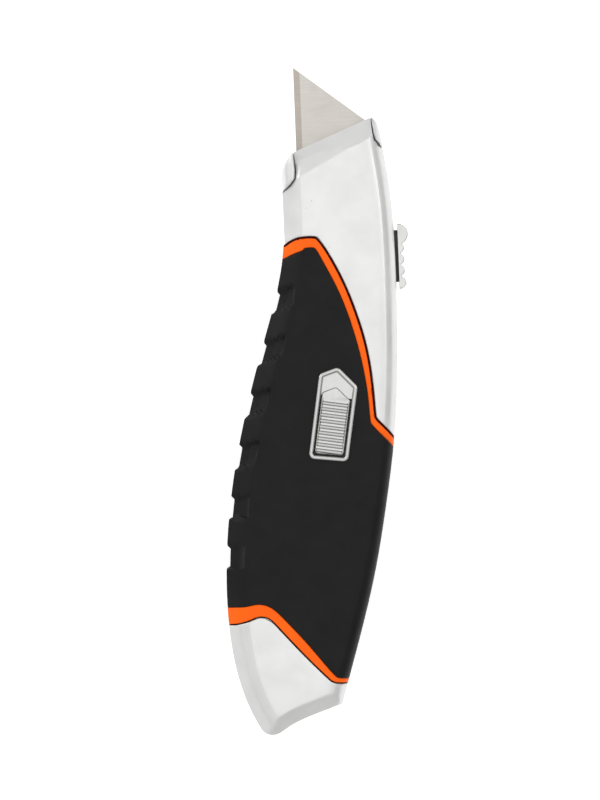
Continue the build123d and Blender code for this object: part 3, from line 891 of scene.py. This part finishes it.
def groove_depth_at(points):
    """Depth of the finger grooves at each plan point."""
    sizes = bpy.context.scene.knife_sizes
    depth = np.zeros(len(points))
    for corners in FINGER_GROOVES:
        loop = dense(corners, 0.5, closed=True)
        near = distance_to(points, loop, closed=True)
        signed = np.where(inside(points, corners), near, -near)
        depth = np.maximum(depth, eased(signed / sizes.groove_wall))
    return depth * sizes.groove_depth


def grip_region():
    """The plan of the rubber grip."""
    return np.array(GRIP_FRONT + GRIP_REAR)


def front_trim_region():
    """The plan of the orange line ahead of the grip."""
    return np.array(list(TRIM_FRONT) + list(reversed(GRIP_FRONT)))


def rear_trim_region():
    """The plan of the orange line behind the grip."""
    return np.array(list(GRIP_REAR) + list(reversed(TRIM_REAR)))


def silver_front_region():
    """The metal ahead of the trim, between the two nose seams, for the near shell."""
    sizes = bpy.context.scene.knife_sizes
    edge = shifted(TRIM_FRONT, sizes.seam)
    return np.array(list(edge) + list(reversed(SPINE_SEAM)) + list(BELLY_SEAM) + [(-14, 52)])


def silver_far_region():
    """The metal ahead of the trim for the far shell, out to the outline."""
    sizes = bpy.context.scene.knife_sizes
    edge = shifted(TRIM_FRONT, sizes.seam)
    return np.array(list(edge) + [(30, 80), (-14, 80)])


def silver_tail_region():
    """The metal behind the rear trim."""
    sizes = bpy.context.scene.knife_sizes
    edge = shifted(list(reversed(TRIM_REAR)), -sizes.seam)
    return np.array([(-36, -95)] + list(edge) + [(14, -95)])


def silver_block(name, region, bottom):
    """A block of the bare metal skin with its edges broken."""
    sizes = bpy.context.scene.knife_sizes
    line = dense(region, 0.5, closed=True)
    base = silver_top()

    def top(points):
        return base(points) - break_edge(distance_to(points, line, closed=True), sizes.edge_break)

    return skin_block(name, region, top, bottom, finish("cast_metal"), inset_lines=RIM_INSETS)


RUBBER_THICKNESS, RUBBER_WALL = 1.1, 2.35
CORE_OVERLAP, CORE_ROOM = 1.5, 0.03
LUG_FOOT = 2.5
CORE_CELL = 3.0
RUBBER_CELL = 1.5


def core_top(lift=0.0):
    """Height of the metal under the rubber: flat, and lower beneath the belly's bevel."""
    sizes = bpy.context.scene.knife_sizes

    def top(points):
        drop = edge_drop(points, sizes, GRIP_BLEND, GRIP_ROUND)
        skin = GRIP_RISE - drop - sizes.groove_depth - RUBBER_THICKNESS
        return PARTING + np.minimum(CORE_RISE, skin) + lift

    return top


def core_block(name, bottom):
    """The metal under the rubber."""
    front = list(shifted(TRIM_FRONT, CORE_OVERLAP))
    rear = list(shifted(list(reversed(TRIM_REAR)), -CORE_OVERLAP))
    region = np.array(front + rear[::-1])
    return skin_block(name, region, core_top(), bottom, finish("cast_metal"), cell=CORE_CELL)


def shell(side):
    """One shell: the fine outer skin cut with the CAD shell's hollows, bosses and hinge.
    The three blocks end at different depths, so that no two of their faces lie in one plane."""
    low = PARTING - BELOW
    front_region = silver_front_region() if side == "left" else silver_far_region()
    skin = silver_block("skin_" + side, front_region, low)
    tail = silver_block("tail_" + side, silver_tail_region(), low - 0.31)
    core = core_block("core_" + side, low - 0.17)
    cut(skin, core, "UNION")
    cut(skin, tail, "UNION")
    if side == "right":
        mirrored(skin)
        for region in lug_regions():
            lug = silver_block("lug", region, PARTING - LUG_FOOT)
            cut(skin, lug, "UNION")
    source = merged_copy(side + "_shell", side + "_shell_body")
    cut(skin, source, "INTERSECT")
    skin.name = side + "_casting"
    skin.data.materials.clear()
    skin.data.materials.append(finish("cast_metal"))
    finish_shading(skin, 30)
    return skin


def lug_regions():
    """Plan regions of the two lugs that wrap the nose's corners."""
    belly = [(x - 0.3, y) for x, y in BELLY_SEAM]
    spine = [(x + 0.3, y) for x, y in SPINE_SEAM]
    return (
        np.array(belly + [(-14, 60), (-10, 72), (-5, 72)]),
        np.array(spine + [(30, 66), (26, 80)]),
    )


# how far in from the belly a groove cuts the top fully, and how far it moves the side
TOP_REACH, SIDE_REACH = 3.0, 3.5
SIDE_DIRECTION = (0.97, -0.2)


def grip(side):
    """One ribbed rubber grip."""
    region = grip_region()
    base = zone_top(region, GRIP_RISE - SKIN_INSET, GRIP_BLEND, GRIP_ROUND)
    belly = EDGE_LINES["belly"]

    def top(points):
        depth = groove_depth_at(points)
        flatness = np.clip(distance_to(points, belly) / TOP_REACH, 0, 1)
        return base(points) - depth * flatness

    def side_shift(points):
        to_belly = distance_to(points, belly)
        nearness = np.clip(1 - to_belly / SIDE_REACH, 0, 1)
        return points + np.outer(groove_depth_at(points) * nearness, SIDE_DIRECTION)

    rubber = finish("grip_rubber")
    piece = skin_block(
        side + "_rubber", region, top, PARTING + HALF_GAP, rubber, side_shift, RUBBER_CELL, RIM_INSETS
    )
    cut(piece, under_rubber("grip_core"), "DIFFERENCE")
    if side == "left":
        loop = rounded_loop(BEZEL_CORNERS, BEZEL_RADIUS)
        cut(piece, prism("bezel_hole", loop, PARTING, PARTING + 15, rubber), "DIFFERENCE")
    else:
        mirrored(piece)
    finish_shading(piece, 40)
    return piece


def under_rubber(name):
    """The room for the metal, one rubber thickness inside the outline."""
    plan = offset_outline(-RUBBER_WALL)
    plan = plan[distance_to(plan, OUTLINE, closed=True) > 2.2]
    return skin_block(name, plan, core_top(CORE_ROOM), PARTING - 1, finish("grip_rubber"), cell=CORE_CELL)


TRIM_GROOVE_DEPTH = 1.1
GROOVE_STEP = 0.05


def trim(side, end):
    """One orange trim line, with a narrow groove along the metal whose wall and floor are painted dark red as
    shade.
    """
    sizes = bpy.context.scene.knife_sizes
    region = front_trim_region() if end == "front" else rear_trim_region()
    metal_side = dense(TRIM_FRONT if end == "front" else TRIM_REAR, 0.5)
    groove = sizes.groove_front if end == "front" else sizes.groove_rear
    line = dense(region, 0.5, closed=True)

    def top(points):
        drop = edge_drop(points, sizes, TRIM_BLEND, TRIM_ROUND)
        to_metal = distance_to(points, metal_side)
        sunk = np.clip((groove + GROOVE_STEP - to_metal) / GROOVE_STEP, 0, 1) * TRIM_GROOVE_DEPTH
        edge = break_edge(np.abs(to_metal - groove - 0.03), sizes.edge_break * 0.7) * (to_metal > groove)
        rubber_side = break_edge(distance_to(points, line, closed=True), sizes.edge_break)
        rubber_side *= to_metal > groove + 0.5
        return PARTING + TRIM_RISE - SKIN_INSET - drop - sunk - edge - rubber_side

    insets = (*RIM_INSETS, groove, groove + GROOVE_STEP, groove + 0.15, groove + 0.3)
    piece = skin_block(
        f"{side}_{end}_line", region, top, PARTING + HALF_GAP, finish("orange_trim"),
        cell=RUBBER_CELL, inset_lines=insets,
    )
    cut(piece, under_rubber("trim_core"), "DIFFERENCE")
    if side == "right":
        mirrored(piece)
    piece.data.materials.clear()
    piece.data.materials.append(finish("orange_trim"))
    piece.data.materials.append(finish("trim_groove"))
    # faces in the groove beside the metal take the dark red painted shade
    centres = np.array([face.center[:2] for face in piece.data.polygons]) / MM
    dark = (distance_to(centres, metal_side) < groove + 0.06) & inside(centres, offset_outline(-0.15))
    for face, in_painted_shade in zip(piece.data.polygons, dark):
        face.material_index = int(in_painted_shade)
    finish_shading(piece, 40)
    return piece


# ---------------------------------------------------------------- small pieces
def lofted(name, rings, material, caps=True):
    """A closed surface through rings of equal length."""
    count = len(rings[0])
    verts = [v for ring in rings for v in ring]
    faces = []
    for r in range(len(rings) - 1):
        a, b = r * count, (r + 1) * count
        faces += [(a + i, a + (i + 1) % count, b + (i + 1) % count, b + i) for i in range(count)]
    if caps:
        last = (len(rings) - 1) * count
        faces += [tuple(reversed(range(count))), tuple(range(last, last + count))]
    else:
        last = (len(rings) - 1) * count
        faces += [(last + i, last + (i + 1) % count, (i + 1) % count, i) for i in range(count)]
    piece = new_object(name, verts, faces, material)
    tidy_mesh(piece)
    return piece


def latch_point(side, end, rise):
    """A point from the latch's own directions."""
    x, y = LATCH_CENTRE + side * LATCH_SIDE + end * LATCH_FORWARD
    return (x, y, PARTING + rise)


def latch_block(name, sides, ends, rises, material):
    """A block from (side, end, rise) limits in the latch's own directions."""
    corners = [(sides[0], ends[0]), (sides[1], ends[0]), (sides[1], ends[1]), (sides[0], ends[1])]
    rings = [[latch_point(s, e, rise) for s, e in corners] for rise in rises]
    return lofted(name, rings, material)


# the frame's section as insets from its outline and rises
BEZEL_PROFILE = [
    (0.0, 7.65), (0.0, 10.3), (0.06, 10.52), (0.2, 10.68), (0.38, 10.76), (0.6, 10.79), (0.8, 10.76),
    (0.97, 10.64), (1.07, 10.46), (1.1, 10.2), (1.12, 8.75), (1.25, 8.45), (1.6, 8.4), (1.6, 7.65),
]


# height of the lowered floor round the button, painted dark as shade
SHADED_FLOOR_RISE = 7.85


def latch_bezel():
    """The plated frame: a rounded rim, a recessed floor and the latch's slot through it; round the button the
    floor is lowered and painted with the dark plastic colour as shade.
    """
    metal = finish("bright_plate")
    rings = []
    for inset, rise in BEZEL_PROFILE:
        loop = rounded_loop(BEZEL_CORNERS, BEZEL_RADIUS, inset)
        rings.append([(x, y, PARTING + rise) for x, y in loop])
    piece = lofted("bezel_frame", rings, metal, caps=False)
    floor = rounded_loop(BEZEL_CORNERS, BEZEL_RADIUS, 1.3)
    cut(piece, prism("bezel_floor", floor, PARTING + 7.66, PARTING + 8.4, metal), "UNION")
    bed = rounded_loop(BEZEL_CORNERS, BEZEL_RADIUS, 1.2)
    bed = prism("bed", bed, PARTING + SHADED_FLOOR_RISE, PARTING + 9.5, metal)
    cut(bed, latch_block("reach", (-8, 8), (-12, 7.5), (7.0, 10.0), metal), "INTERSECT")
    cut(piece, bed, "DIFFERENCE")
    cut(piece, latch_block("slot", (-2.3, 2.3), (-6, 6), (4.0, 9.0), metal), "DIFFERENCE")
    # the lowered floor round the button takes the dark plastic colour: painted shade in the gap beside the
    # button
    piece.data.materials.clear()
    piece.data.materials.append(metal)
    piece.data.materials.append(finish("dark_plastic"))
    for face in piece.data.polygons:
        height = face.center.z / MM - PARTING
        face.material_index = int(abs(height - SHADED_FLOOR_RISE) < 0.05)
    finish_shading(piece, 40)
    return piece


def node_group(name, inputs):
    """A Geometry Nodes tree with named inputs: the tree, its input node and its input sockets."""
    tree = bpy.data.node_groups.new(name, "GeometryNodeTree")
    tree.interface.new_socket("Geometry", in_out="OUTPUT", socket_type="NodeSocketGeometry")
    sockets = {
        key: tree.interface.new_socket(key, in_out="INPUT", socket_type="NodeSocket" + kind)
        for key, kind in inputs.items()
    }
    return tree, tree.nodes.new("NodeGroupInput"), sockets


def end_group(tree, entry, geometry):
    """Ends a tree in Realize Instances and Set Material."""
    solid = tree.nodes.new("GeometryNodeRealizeInstances")
    paint = tree.nodes.new("GeometryNodeSetMaterial")
    leave = tree.nodes.new("NodeGroupOutput")
    tree.links.new(geometry, solid.inputs["Geometry"])
    tree.links.new(solid.outputs["Geometry"], paint.inputs["Geometry"])
    tree.links.new(entry.outputs["Material"], paint.inputs["Material"])
    tree.links.new(paint.outputs["Geometry"], leave.inputs["Geometry"])


def plain_result(tree, sockets, values):
    """A tree's result for these input values, kept as a plain mesh."""
    piece = new_object(tree.name, [], [], values["Material"])
    modifier = piece.modifiers.new(tree.name, "NODES")
    modifier.node_group = tree
    for key, value in values.items():
        modifier[sockets[key].identifier] = value
    apply_modifiers(piece)
    return piece


def repeat_along(name, shape, count, start, step, material):
    """Copies of an object's mesh along a straight line, made with Geometry Nodes."""
    inputs = {"Shape": "Object", "Count": "Int", "Start": "Vector", "Step": "Vector", "Material": "Material"}
    tree, entry, sockets = node_group(name, inputs)
    info = tree.nodes.new("GeometryNodeObjectInfo")
    line = tree.nodes.new("GeometryNodeMeshLine")
    place = tree.nodes.new("GeometryNodeInstanceOnPoints")
    links = tree.links
    links.new(entry.outputs["Shape"], info.inputs["Object"])
    links.new(entry.outputs["Count"], line.inputs["Count"])
    links.new(entry.outputs["Start"], line.inputs["Start Location"])
    links.new(entry.outputs["Step"], line.inputs["Offset"])
    links.new(line.outputs["Mesh"], place.inputs["Points"])
    links.new(info.outputs["Geometry"], place.inputs["Instance"])
    end_group(tree, entry, place.outputs["Instances"])
    piece = plain_result(tree, sockets, {
        "Shape": shape,
        "Count": count,
        "Start": [v * MM for v in start],
        "Step": [v * MM for v in step],
        "Material": material,
    })
    bpy.data.objects.remove(shape)
    return piece


RIB_COUNT, RIB_PITCH = 9, 1.6
RIB_HALF_LENGTH, RIB_HALF_WIDTH = 3.55, 0.56
RIB_RISE, RIB_FOOT = 0.75, 0.8


def rib_bar(material):
    """One rounded cross rib of the latch button, lying along the latch's side direction."""
    arc = [math.radians(a) for a in range(0, 181, 18)]
    rings = []
    for from_end, scale in ((0.0, 0.55), (0.12, 0.85), (0.4, 1.0)):
        section = [(RIB_HALF_WIDTH * math.cos(a), RIB_RISE * math.sin(a) * scale) for a in arc]
        section += [(-RIB_HALF_WIDTH, -RIB_FOOT), (RIB_HALF_WIDTH, -RIB_FOOT)]
        rings.append((RIB_HALF_LENGTH - from_end, section))
    places = [(-side, section) for side, section in rings] + rings[::-1]
    rings = [
        [(*(LATCH_SIDE * side + LATCH_FORWARD * end), z) for end, z in section] for side, section in places
    ]
    return lofted("rib", rings, material)


SCREW_HOLE = 0.8


def latch_button():
    """The plated latch button: a sloping nose, then nine rounded cross ribs."""
    metal = finish("bright_plate")
    rings = []
    for inset, rise in ((0.0, 8.6), (0.0, 9.05), (0.05, 9.2), (0.18, 9.33), (0.35, 9.38)):
        loop = rounded_loop(BUTTON_CORNERS, BUTTON_RADIUS, inset)
        rings.append([(x, y, PARTING + rise) for x, y in loop])
    piece = lofted("latch_slide", rings, metal)
    wedge = []
    for side in (-3.5, -3.2, 3.2, 3.5):
        low = 0.25 if abs(side) > 3.3 else 0.0
        section = [
            (-8.0, 8.9), (-8.0, 9.55 - low), (5.5, 9.75 - low),
            (6.6, 9.72 - low), (9.4, 9.1 - low * 0.5), (9.4, 8.9),
        ]
        wedge.append([latch_point(side, end, rise) for end, rise in section])
    crown = lofted("crown", wedge, metal)
    loop = rounded_loop(BUTTON_CORNERS, BUTTON_RADIUS, 0.3)
    limit = prism("limit", loop, PARTING + 8.7, PARTING + 10.45, metal)
    cut(crown, limit, "INTERSECT", keep_other=True)
    step = (*(LATCH_FORWARD * RIB_PITCH), 0)
    ribs = repeat_along("ribs", rib_bar(metal), RIB_COUNT, latch_point(0, -7.3, 9.62), step, metal)
    cut(ribs, limit, "INTERSECT")
    cut(piece, crown, "UNION")
    cut(piece, ribs, "UNION")
    foot = latch_block("foot", (-2.0, 2.0), (-4.5, 0.5), (5.6, 8.8), metal)
    cut(piece, foot, "UNION")
    centre = LATCH_CENTRE + LATCH_FORWARD * -2
    turns = np.linspace(0, 2 * math.pi, 24, endpoint=False)
    circle = [centre + SCREW_HOLE * np.array([math.cos(a), math.sin(a)]) for a in turns]
    hole = [[(x, y, PARTING + rise) for x, y in circle] for rise in (5.0, 8.0)]
    cut(piece, lofted("hole", hole, metal), "DIFFERENCE")
    finish_shading(piece, 45)
    return piece


def coil(name, start, end, radius, wire, turns, material):
    """A compression spring between two points, made with Geometry Nodes."""
    inputs = {key: "Float" for key in ("Rotations", "Radius", "Height", "Wire radius")}
    tree, entry, sockets = node_group(name, {**inputs, "Material": "Material"})
    spiral = tree.nodes.new("GeometryNodeCurveSpiral")
    circle = tree.nodes.new("GeometryNodeCurvePrimitiveCircle")
    sweep = tree.nodes.new("GeometryNodeCurveToMesh")
    spiral.inputs["Resolution"].default_value = 24
    circle.inputs["Resolution"].default_value = 12
    sweep.inputs["Fill Caps"].default_value = True
    links = tree.links
    links.new(entry.outputs["Rotations"], spiral.inputs["Rotations"])
    links.new(entry.outputs["Radius"], spiral.inputs["Start Radius"])
    links.new(entry.outputs["Radius"], spiral.inputs["End Radius"])
    links.new(entry.outputs["Height"], spiral.inputs["Height"])
    links.new(entry.outputs["Wire radius"], circle.inputs["Radius"])
    links.new(spiral.outputs["Curve"], sweep.inputs["Curve"])
    links.new(circle.outputs["Curve"], sweep.inputs["Profile Curve"])
    end_group(tree, entry, sweep.outputs["Mesh"])
    start, end = Vector(start), Vector(end)
    piece = plain_result(tree, sockets, {
        "Rotations": float(turns),
        "Radius": float(radius * MM),
        "Height": float((end - start).length * MM),
        "Wire radius": float(wire * MM),
        "Material": material,
    })
    turn = (end - start).to_track_quat("Z", "Y").to_matrix().to_4x4()
    turn.translation = start * MM
    piece.data.transform(turn)
    tidy_mesh(piece, 1e-8)
    piece.data.polygons.foreach_set("use_smooth", [True] * len(piece.data.polygons))
    return piece


BLADE_MIDDLE = (BLADE_LOW[1] + BLADE_HIGH[1]) / 2
BACK_HALF = 16
NOTCH_STEP, NOTCH_HALF, NOTCH_DEPTH = 6, 1.4, 2.8
EDGE_X, GROUND_WIDTH, EDGE_HALF = -2.9, 1.7, 0.04
# each nick in the edge: its place along the blade and its size
NICKS = ((88.3, 0.16), (86.9, 0.1), (84.4, 0.13), (82.2, 0.09), (78.8, 0.12), (75.9, 0.16), (73.0, 0.1))


def blade_plan():
    """The trapezoid blade's plan with its two back notches, clockwise from the tip."""
    edge, back = BLADE_LOW[0], BLADE_HIGH[0]
    plan = [(edge, BLADE_HIGH[1]), (back, BLADE_MIDDLE + BACK_HALF)]
    for y in (BLADE_MIDDLE + NOTCH_STEP, BLADE_MIDDLE - NOTCH_STEP):
        front, rear, foot = y + NOTCH_HALF, y - NOTCH_HALF, back - NOTCH_DEPTH
        plan += [(back, front), (foot, front), (foot, rear), (back, rear)]
    return plan + [(back, BLADE_MIDDLE - BACK_HALF), (edge, BLADE_LOW[1])]


def trapezoid_blade():
    """The blade: a flat body and a ground edge with fine nicks."""
    half = (BLADE_HIGH[2] - BLADE_LOW[2]) / 2
    steel, ground = finish("blade_steel"), finish("blade_ground")
    piece = prism("blade_body", blade_plan(), PARTING - half, PARTING + half, steel)
    piece.data.materials.append(ground)
    outside, bevel_end = EDGE_X - 1.3, EDGE_X + GROUND_WIDTH
    section = ((outside, EDGE_HALF), (bevel_end, half), (bevel_end, 2), (outside, 2))
    for sign in (1, -1):
        shave = [[(x, y, PARTING + sign * z) for x, z in section] for y in (20, 95)]
        cut(piece, lofted("shave", shave, ground), "DIFFERENCE")
    for y, size in NICKS:
        corners = [(-3.2, y - size), (EDGE_X + size * 0.8, y), (-3.2, y + size)]
        cut(piece, prism("nick", corners, PARTING - 1, PARTING + 1, ground), "DIFFERENCE")
    return piece


THUMB_BASE, THUMB_LOW, THUMB_TOP = 23.52, 24.3, 26.33
THUMB_REAR, THUMB_FRONT = 29.05, 46.68
# each bump's centre in X and Y and its radius
THUMB_BUMPS = (
    (23.9, 30.75, 1.55), (23.75, 34.0, 1.4), (23.75, 37.05, 1.4), (23.75, 40.1, 1.4), (23.5, 43.85, 2.83),
)
# the button's sides: places across the knife and how far the outline is drawn in there
THUMB_SIDES = (
    (-3.18, 0.42), (-3.08, 0.2), (-2.88, 0.06), (-2.6, 0.0), (2.6, 0.0), (2.88, 0.06), (3.08, 0.2),
    (3.18, 0.42),
)


def thumb_profile():
    """The thumb button's side outline in X and Y: a flat base, four low bumps and a tall front one."""
    profile = [(THUMB_BASE, THUMB_REAR)]
    for y in np.arange(THUMB_REAR, THUMB_FRONT + 0.01, 0.11):
        height = THUMB_LOW
        for x, centre, radius in THUMB_BUMPS:
            reach = radius**2 - (y - centre) ** 2
            if reach > 0:
                height = max(height, x + math.sqrt(reach))
        profile.append((min(height, THUMB_TOP), float(y)))
    profile.append((THUMB_BASE, THUMB_FRONT))
    return profile


def thumb_button():
    """The ridged thumb button, extruded across the knife with rounded ends."""
    metal = finish("thumb_metal")
    profile = np.array(thumb_profile())
    rings = []
    for z, inset in THUMB_SIDES:
        ring = []
        for x, y in profile:
            x = x if x == THUMB_BASE else max(THUMB_BASE, x - inset)
            ring.append((x, min(max(y, THUMB_REAR + inset), THUMB_FRONT - inset), PARTING + z))
        rings.append(ring)
    piece = lofted("thumb_cap", rings, metal)
    finish_shading(piece, 40)
    return piece


# ---------------------------------------------------------------- operators
class KNIFE_OT_shells(bpy.types.Operator):
    """Makes both cast shells"""

    bl_idname = "knife.shells"
    bl_label = "Cast shells"

    def execute(self, context):
        for side, body in (("left", "cover"), ("right", "handle")):
            piece = shell(side)
            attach(piece, body)
            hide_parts(side + "_shell")
        return {"FINISHED"}


class KNIFE_OT_grips(bpy.types.Operator):
    """Makes both rubber grips"""

    bl_idname = "knife.grips"
    bl_label = "Rubber grips"

    def execute(self, context):
        for side, body in (("left", "cover"), ("right", "handle")):
            piece = grip(side)
            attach(piece, body)
            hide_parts(side + "_grip")
        return {"FINISHED"}


class KNIFE_OT_trims(bpy.types.Operator):
    """Makes the four orange trim lines"""

    bl_idname = "knife.trims"
    bl_label = "Orange trims"

    def execute(self, context):
        for side, body in (("left", "cover"), ("right", "handle")):
            for end in ("front", "rear"):
                piece = trim(side, end)
                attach(piece, body)
                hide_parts(f"{side}_{end}_trim")
        return {"FINISHED"}


class KNIFE_OT_inner(bpy.types.Operator):
    """Gives the inner pieces their finishes"""

    bl_idname = "knife.inner"
    bl_label = "Inner pieces"

    def execute(self, context):
        slots = {entry["node"]: entry["material_slot"] for entry in frame["record"]["subparts"]}
        for name, node in NODES.items():
            node.data.materials.clear()
            node.data.materials.append(finish(slots[name]))
        return {"FINISHED"}


class KNIFE_OT_latch(bpy.types.Operator):
    """Makes the latch's frame, button and spring"""

    bl_idname = "knife.latch"
    bl_label = "Latch"

    def execute(self, context):
        frame_piece = latch_bezel()
        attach(frame_piece, "cover")
        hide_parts("latch_bezel")
        button = latch_button()
        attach(button, "latch")
        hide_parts("latch_button")
        spring = coil(
            "latch_coil", latch_point(5.4, -8.45, 4.1), latch_point(5.4, -1.15, 4.1), 1.26, 0.22, 6,
            finish("steel_hardware"),
        )
        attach(spring, "cover")
        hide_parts("latch_spring")
        return {"FINISHED"}


class KNIFE_OT_blade(bpy.types.Operator):
    """Makes the blade"""

    bl_idname = "knife.blade"
    bl_label = "Blade"

    def execute(self, context):
        piece = trapezoid_blade()
        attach(piece, "carrier")
        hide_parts("blade")
        return {"FINISHED"}


class KNIFE_OT_thumb(bpy.types.Operator):
    """Makes the thumb button"""

    bl_idname = "knife.thumb"
    bl_label = "Thumb button"

    def execute(self, context):
        piece = thumb_button()
        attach(piece, "thumb")
        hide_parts("thumb_button")
        return {"FINISHED"}


FLOOR_HALF = 900


class KNIFE_OT_stage(bpy.types.Operator):
    """Makes the floor, the lights and the camera"""

    bl_idname = "knife.stage"
    bl_label = "Stage"

    def execute(self, context):
        scene = context.scene
        corners = [(x * FLOOR_HALF, y * FLOOR_HALF, 0) for x, y in ((-1, -1), (1, -1), (1, 1), (-1, 1))]
        floor = new_object("floor", corners, [(0, 1, 2, 3)], floor_material())
        scene.world = studio_world()
        scene.view_settings.view_transform = "Standard"
        add_light("top", (0.05, 0.1, 1.5), 0.9, 1.15)
        add_light("left", (-0.75, 0.45, 0.45), 0.4, 1.5)
        add_light("right", (0.6, 0.25, 0.75), 0.4, 1.0)
        add_camera(scene)
        return {"FINISHED"}


def floor_material():
    """The pale floor, lit from within so that it stays white."""
    material, tree, shader, place = node_material("pale_floor", (0.9, 0.9, 0.9), 0.0, 0.9)
    vary(tree, place, 6, 2, grey(0.9), grey(0.93), shader.inputs["Base Color"])
    shader.inputs["Emission Color"].default_value = (1, 1, 1, 1)
    shader.inputs["Emission Strength"].default_value = 0.5
    return material


def studio_world():
    """A white studio, brighter towards the window side and darker behind it."""
    world = bpy.data.worlds.new("studio")
    world.use_nodes = True
    tree = world.node_tree
    background = tree.nodes["Background"]
    background.inputs["Color"].default_value = (1, 1, 1, 1)
    direction = tree.nodes.new("ShaderNodeTexCoord")
    towards = tree.nodes.new("ShaderNodeVectorMath")
    towards.operation = "DOT_PRODUCT"
    towards.inputs[1].default_value = Vector((-0.2, 0.1, 1.0)).normalized()
    level = tree.nodes.new("ShaderNodeMapRange")
    for socket, value in (("From Min", -0.3), ("From Max", 1.0), ("To Min", 0.28), ("To Max", 1.1)):
        level.inputs[socket].default_value = value
    tree.links.new(direction.outputs["Generated"], towards.inputs[0])
    tree.links.new(towards.outputs["Value"], level.inputs["Value"])
    tree.links.new(level.outputs["Result"], background.inputs["Strength"])
    return world


def add_light(name, place, size, power):
    """A soft square light aimed at the knife."""
    data = bpy.data.lights.new(name, "AREA")
    data.size = size
    data.energy = power
    lamp = bpy.data.objects.new(name, data)
    lamp.location = place
    lamp.rotation_euler = (-Vector(place)).to_track_quat("-Z", "Y").to_euler()
    bpy.context.scene.collection.objects.link(lamp)


VIEW_HEIGHT, VIEW_CENTRE, VIEW_TURN = 216.2, (-4.59, 0.18), -2.3


def add_camera(scene):
    """A long lens straight above the knife, turned so that the blade leans a little to the left."""
    data = bpy.data.cameras.new("camera")
    data.lens = 260
    data.sensor_width = 36
    camera = bpy.data.objects.new("camera", data)
    distance = VIEW_HEIGHT * MM * data.lens / data.sensor_width
    camera.location = (VIEW_CENTRE[0] * MM, VIEW_CENTRE[1] * MM, PARTING * MM + distance)
    camera.rotation_euler = (0, 0, math.radians(VIEW_TURN))
    data.clip_end = 10
    scene.collection.objects.link(camera)
    scene.camera = camera


class KNIFE_PT_panel(bpy.types.Panel):
    """Lists the knife's operators and settings"""

    bl_idname = "KNIFE_PT_panel"
    bl_label = "Utility knife"
    bl_space_type = "VIEW_3D"
    bl_region_type = "UI"
    bl_category = "Knife"

    def draw(self, context):
        column = self.layout.column()
        for operator in OPERATORS:
            column.operator(operator.bl_idname)
        for group in (context.scene.knife_sizes, context.scene.knife_colours):
            for name in group.__annotations__:
                column.prop(group, name)


OPERATORS = (
    KNIFE_OT_inner,
    KNIFE_OT_shells,
    KNIFE_OT_grips,
    KNIFE_OT_trims,
    KNIFE_OT_latch,
    KNIFE_OT_blade,
    KNIFE_OT_thumb,
    KNIFE_OT_stage,
)
CLASSES = (KnifeSizes, KnifeColours, *OPERATORS, KNIFE_PT_panel)


def register():
    """Registers the classes and the scene's settings."""
    for each in CLASSES:
        bpy.utils.register_class(each)
    bpy.types.Scene.knife_sizes = PointerProperty(type=KnifeSizes)
    bpy.types.Scene.knife_colours = PointerProperty(type=KnifeColours)


def unregister():
    """Takes them away again."""
    del bpy.types.Scene.knife_colours
    del bpy.types.Scene.knife_sizes
    for each in reversed(CLASSES):
        bpy.utils.unregister_class(each)


def main():
    """Builds the whole knife and its stage."""
    register()
    for operator in OPERATORS:
        section, name = operator.bl_idname.split(".")
        getattr(getattr(bpy.ops, section), name)()


if __name__ == "__main__":
    main()
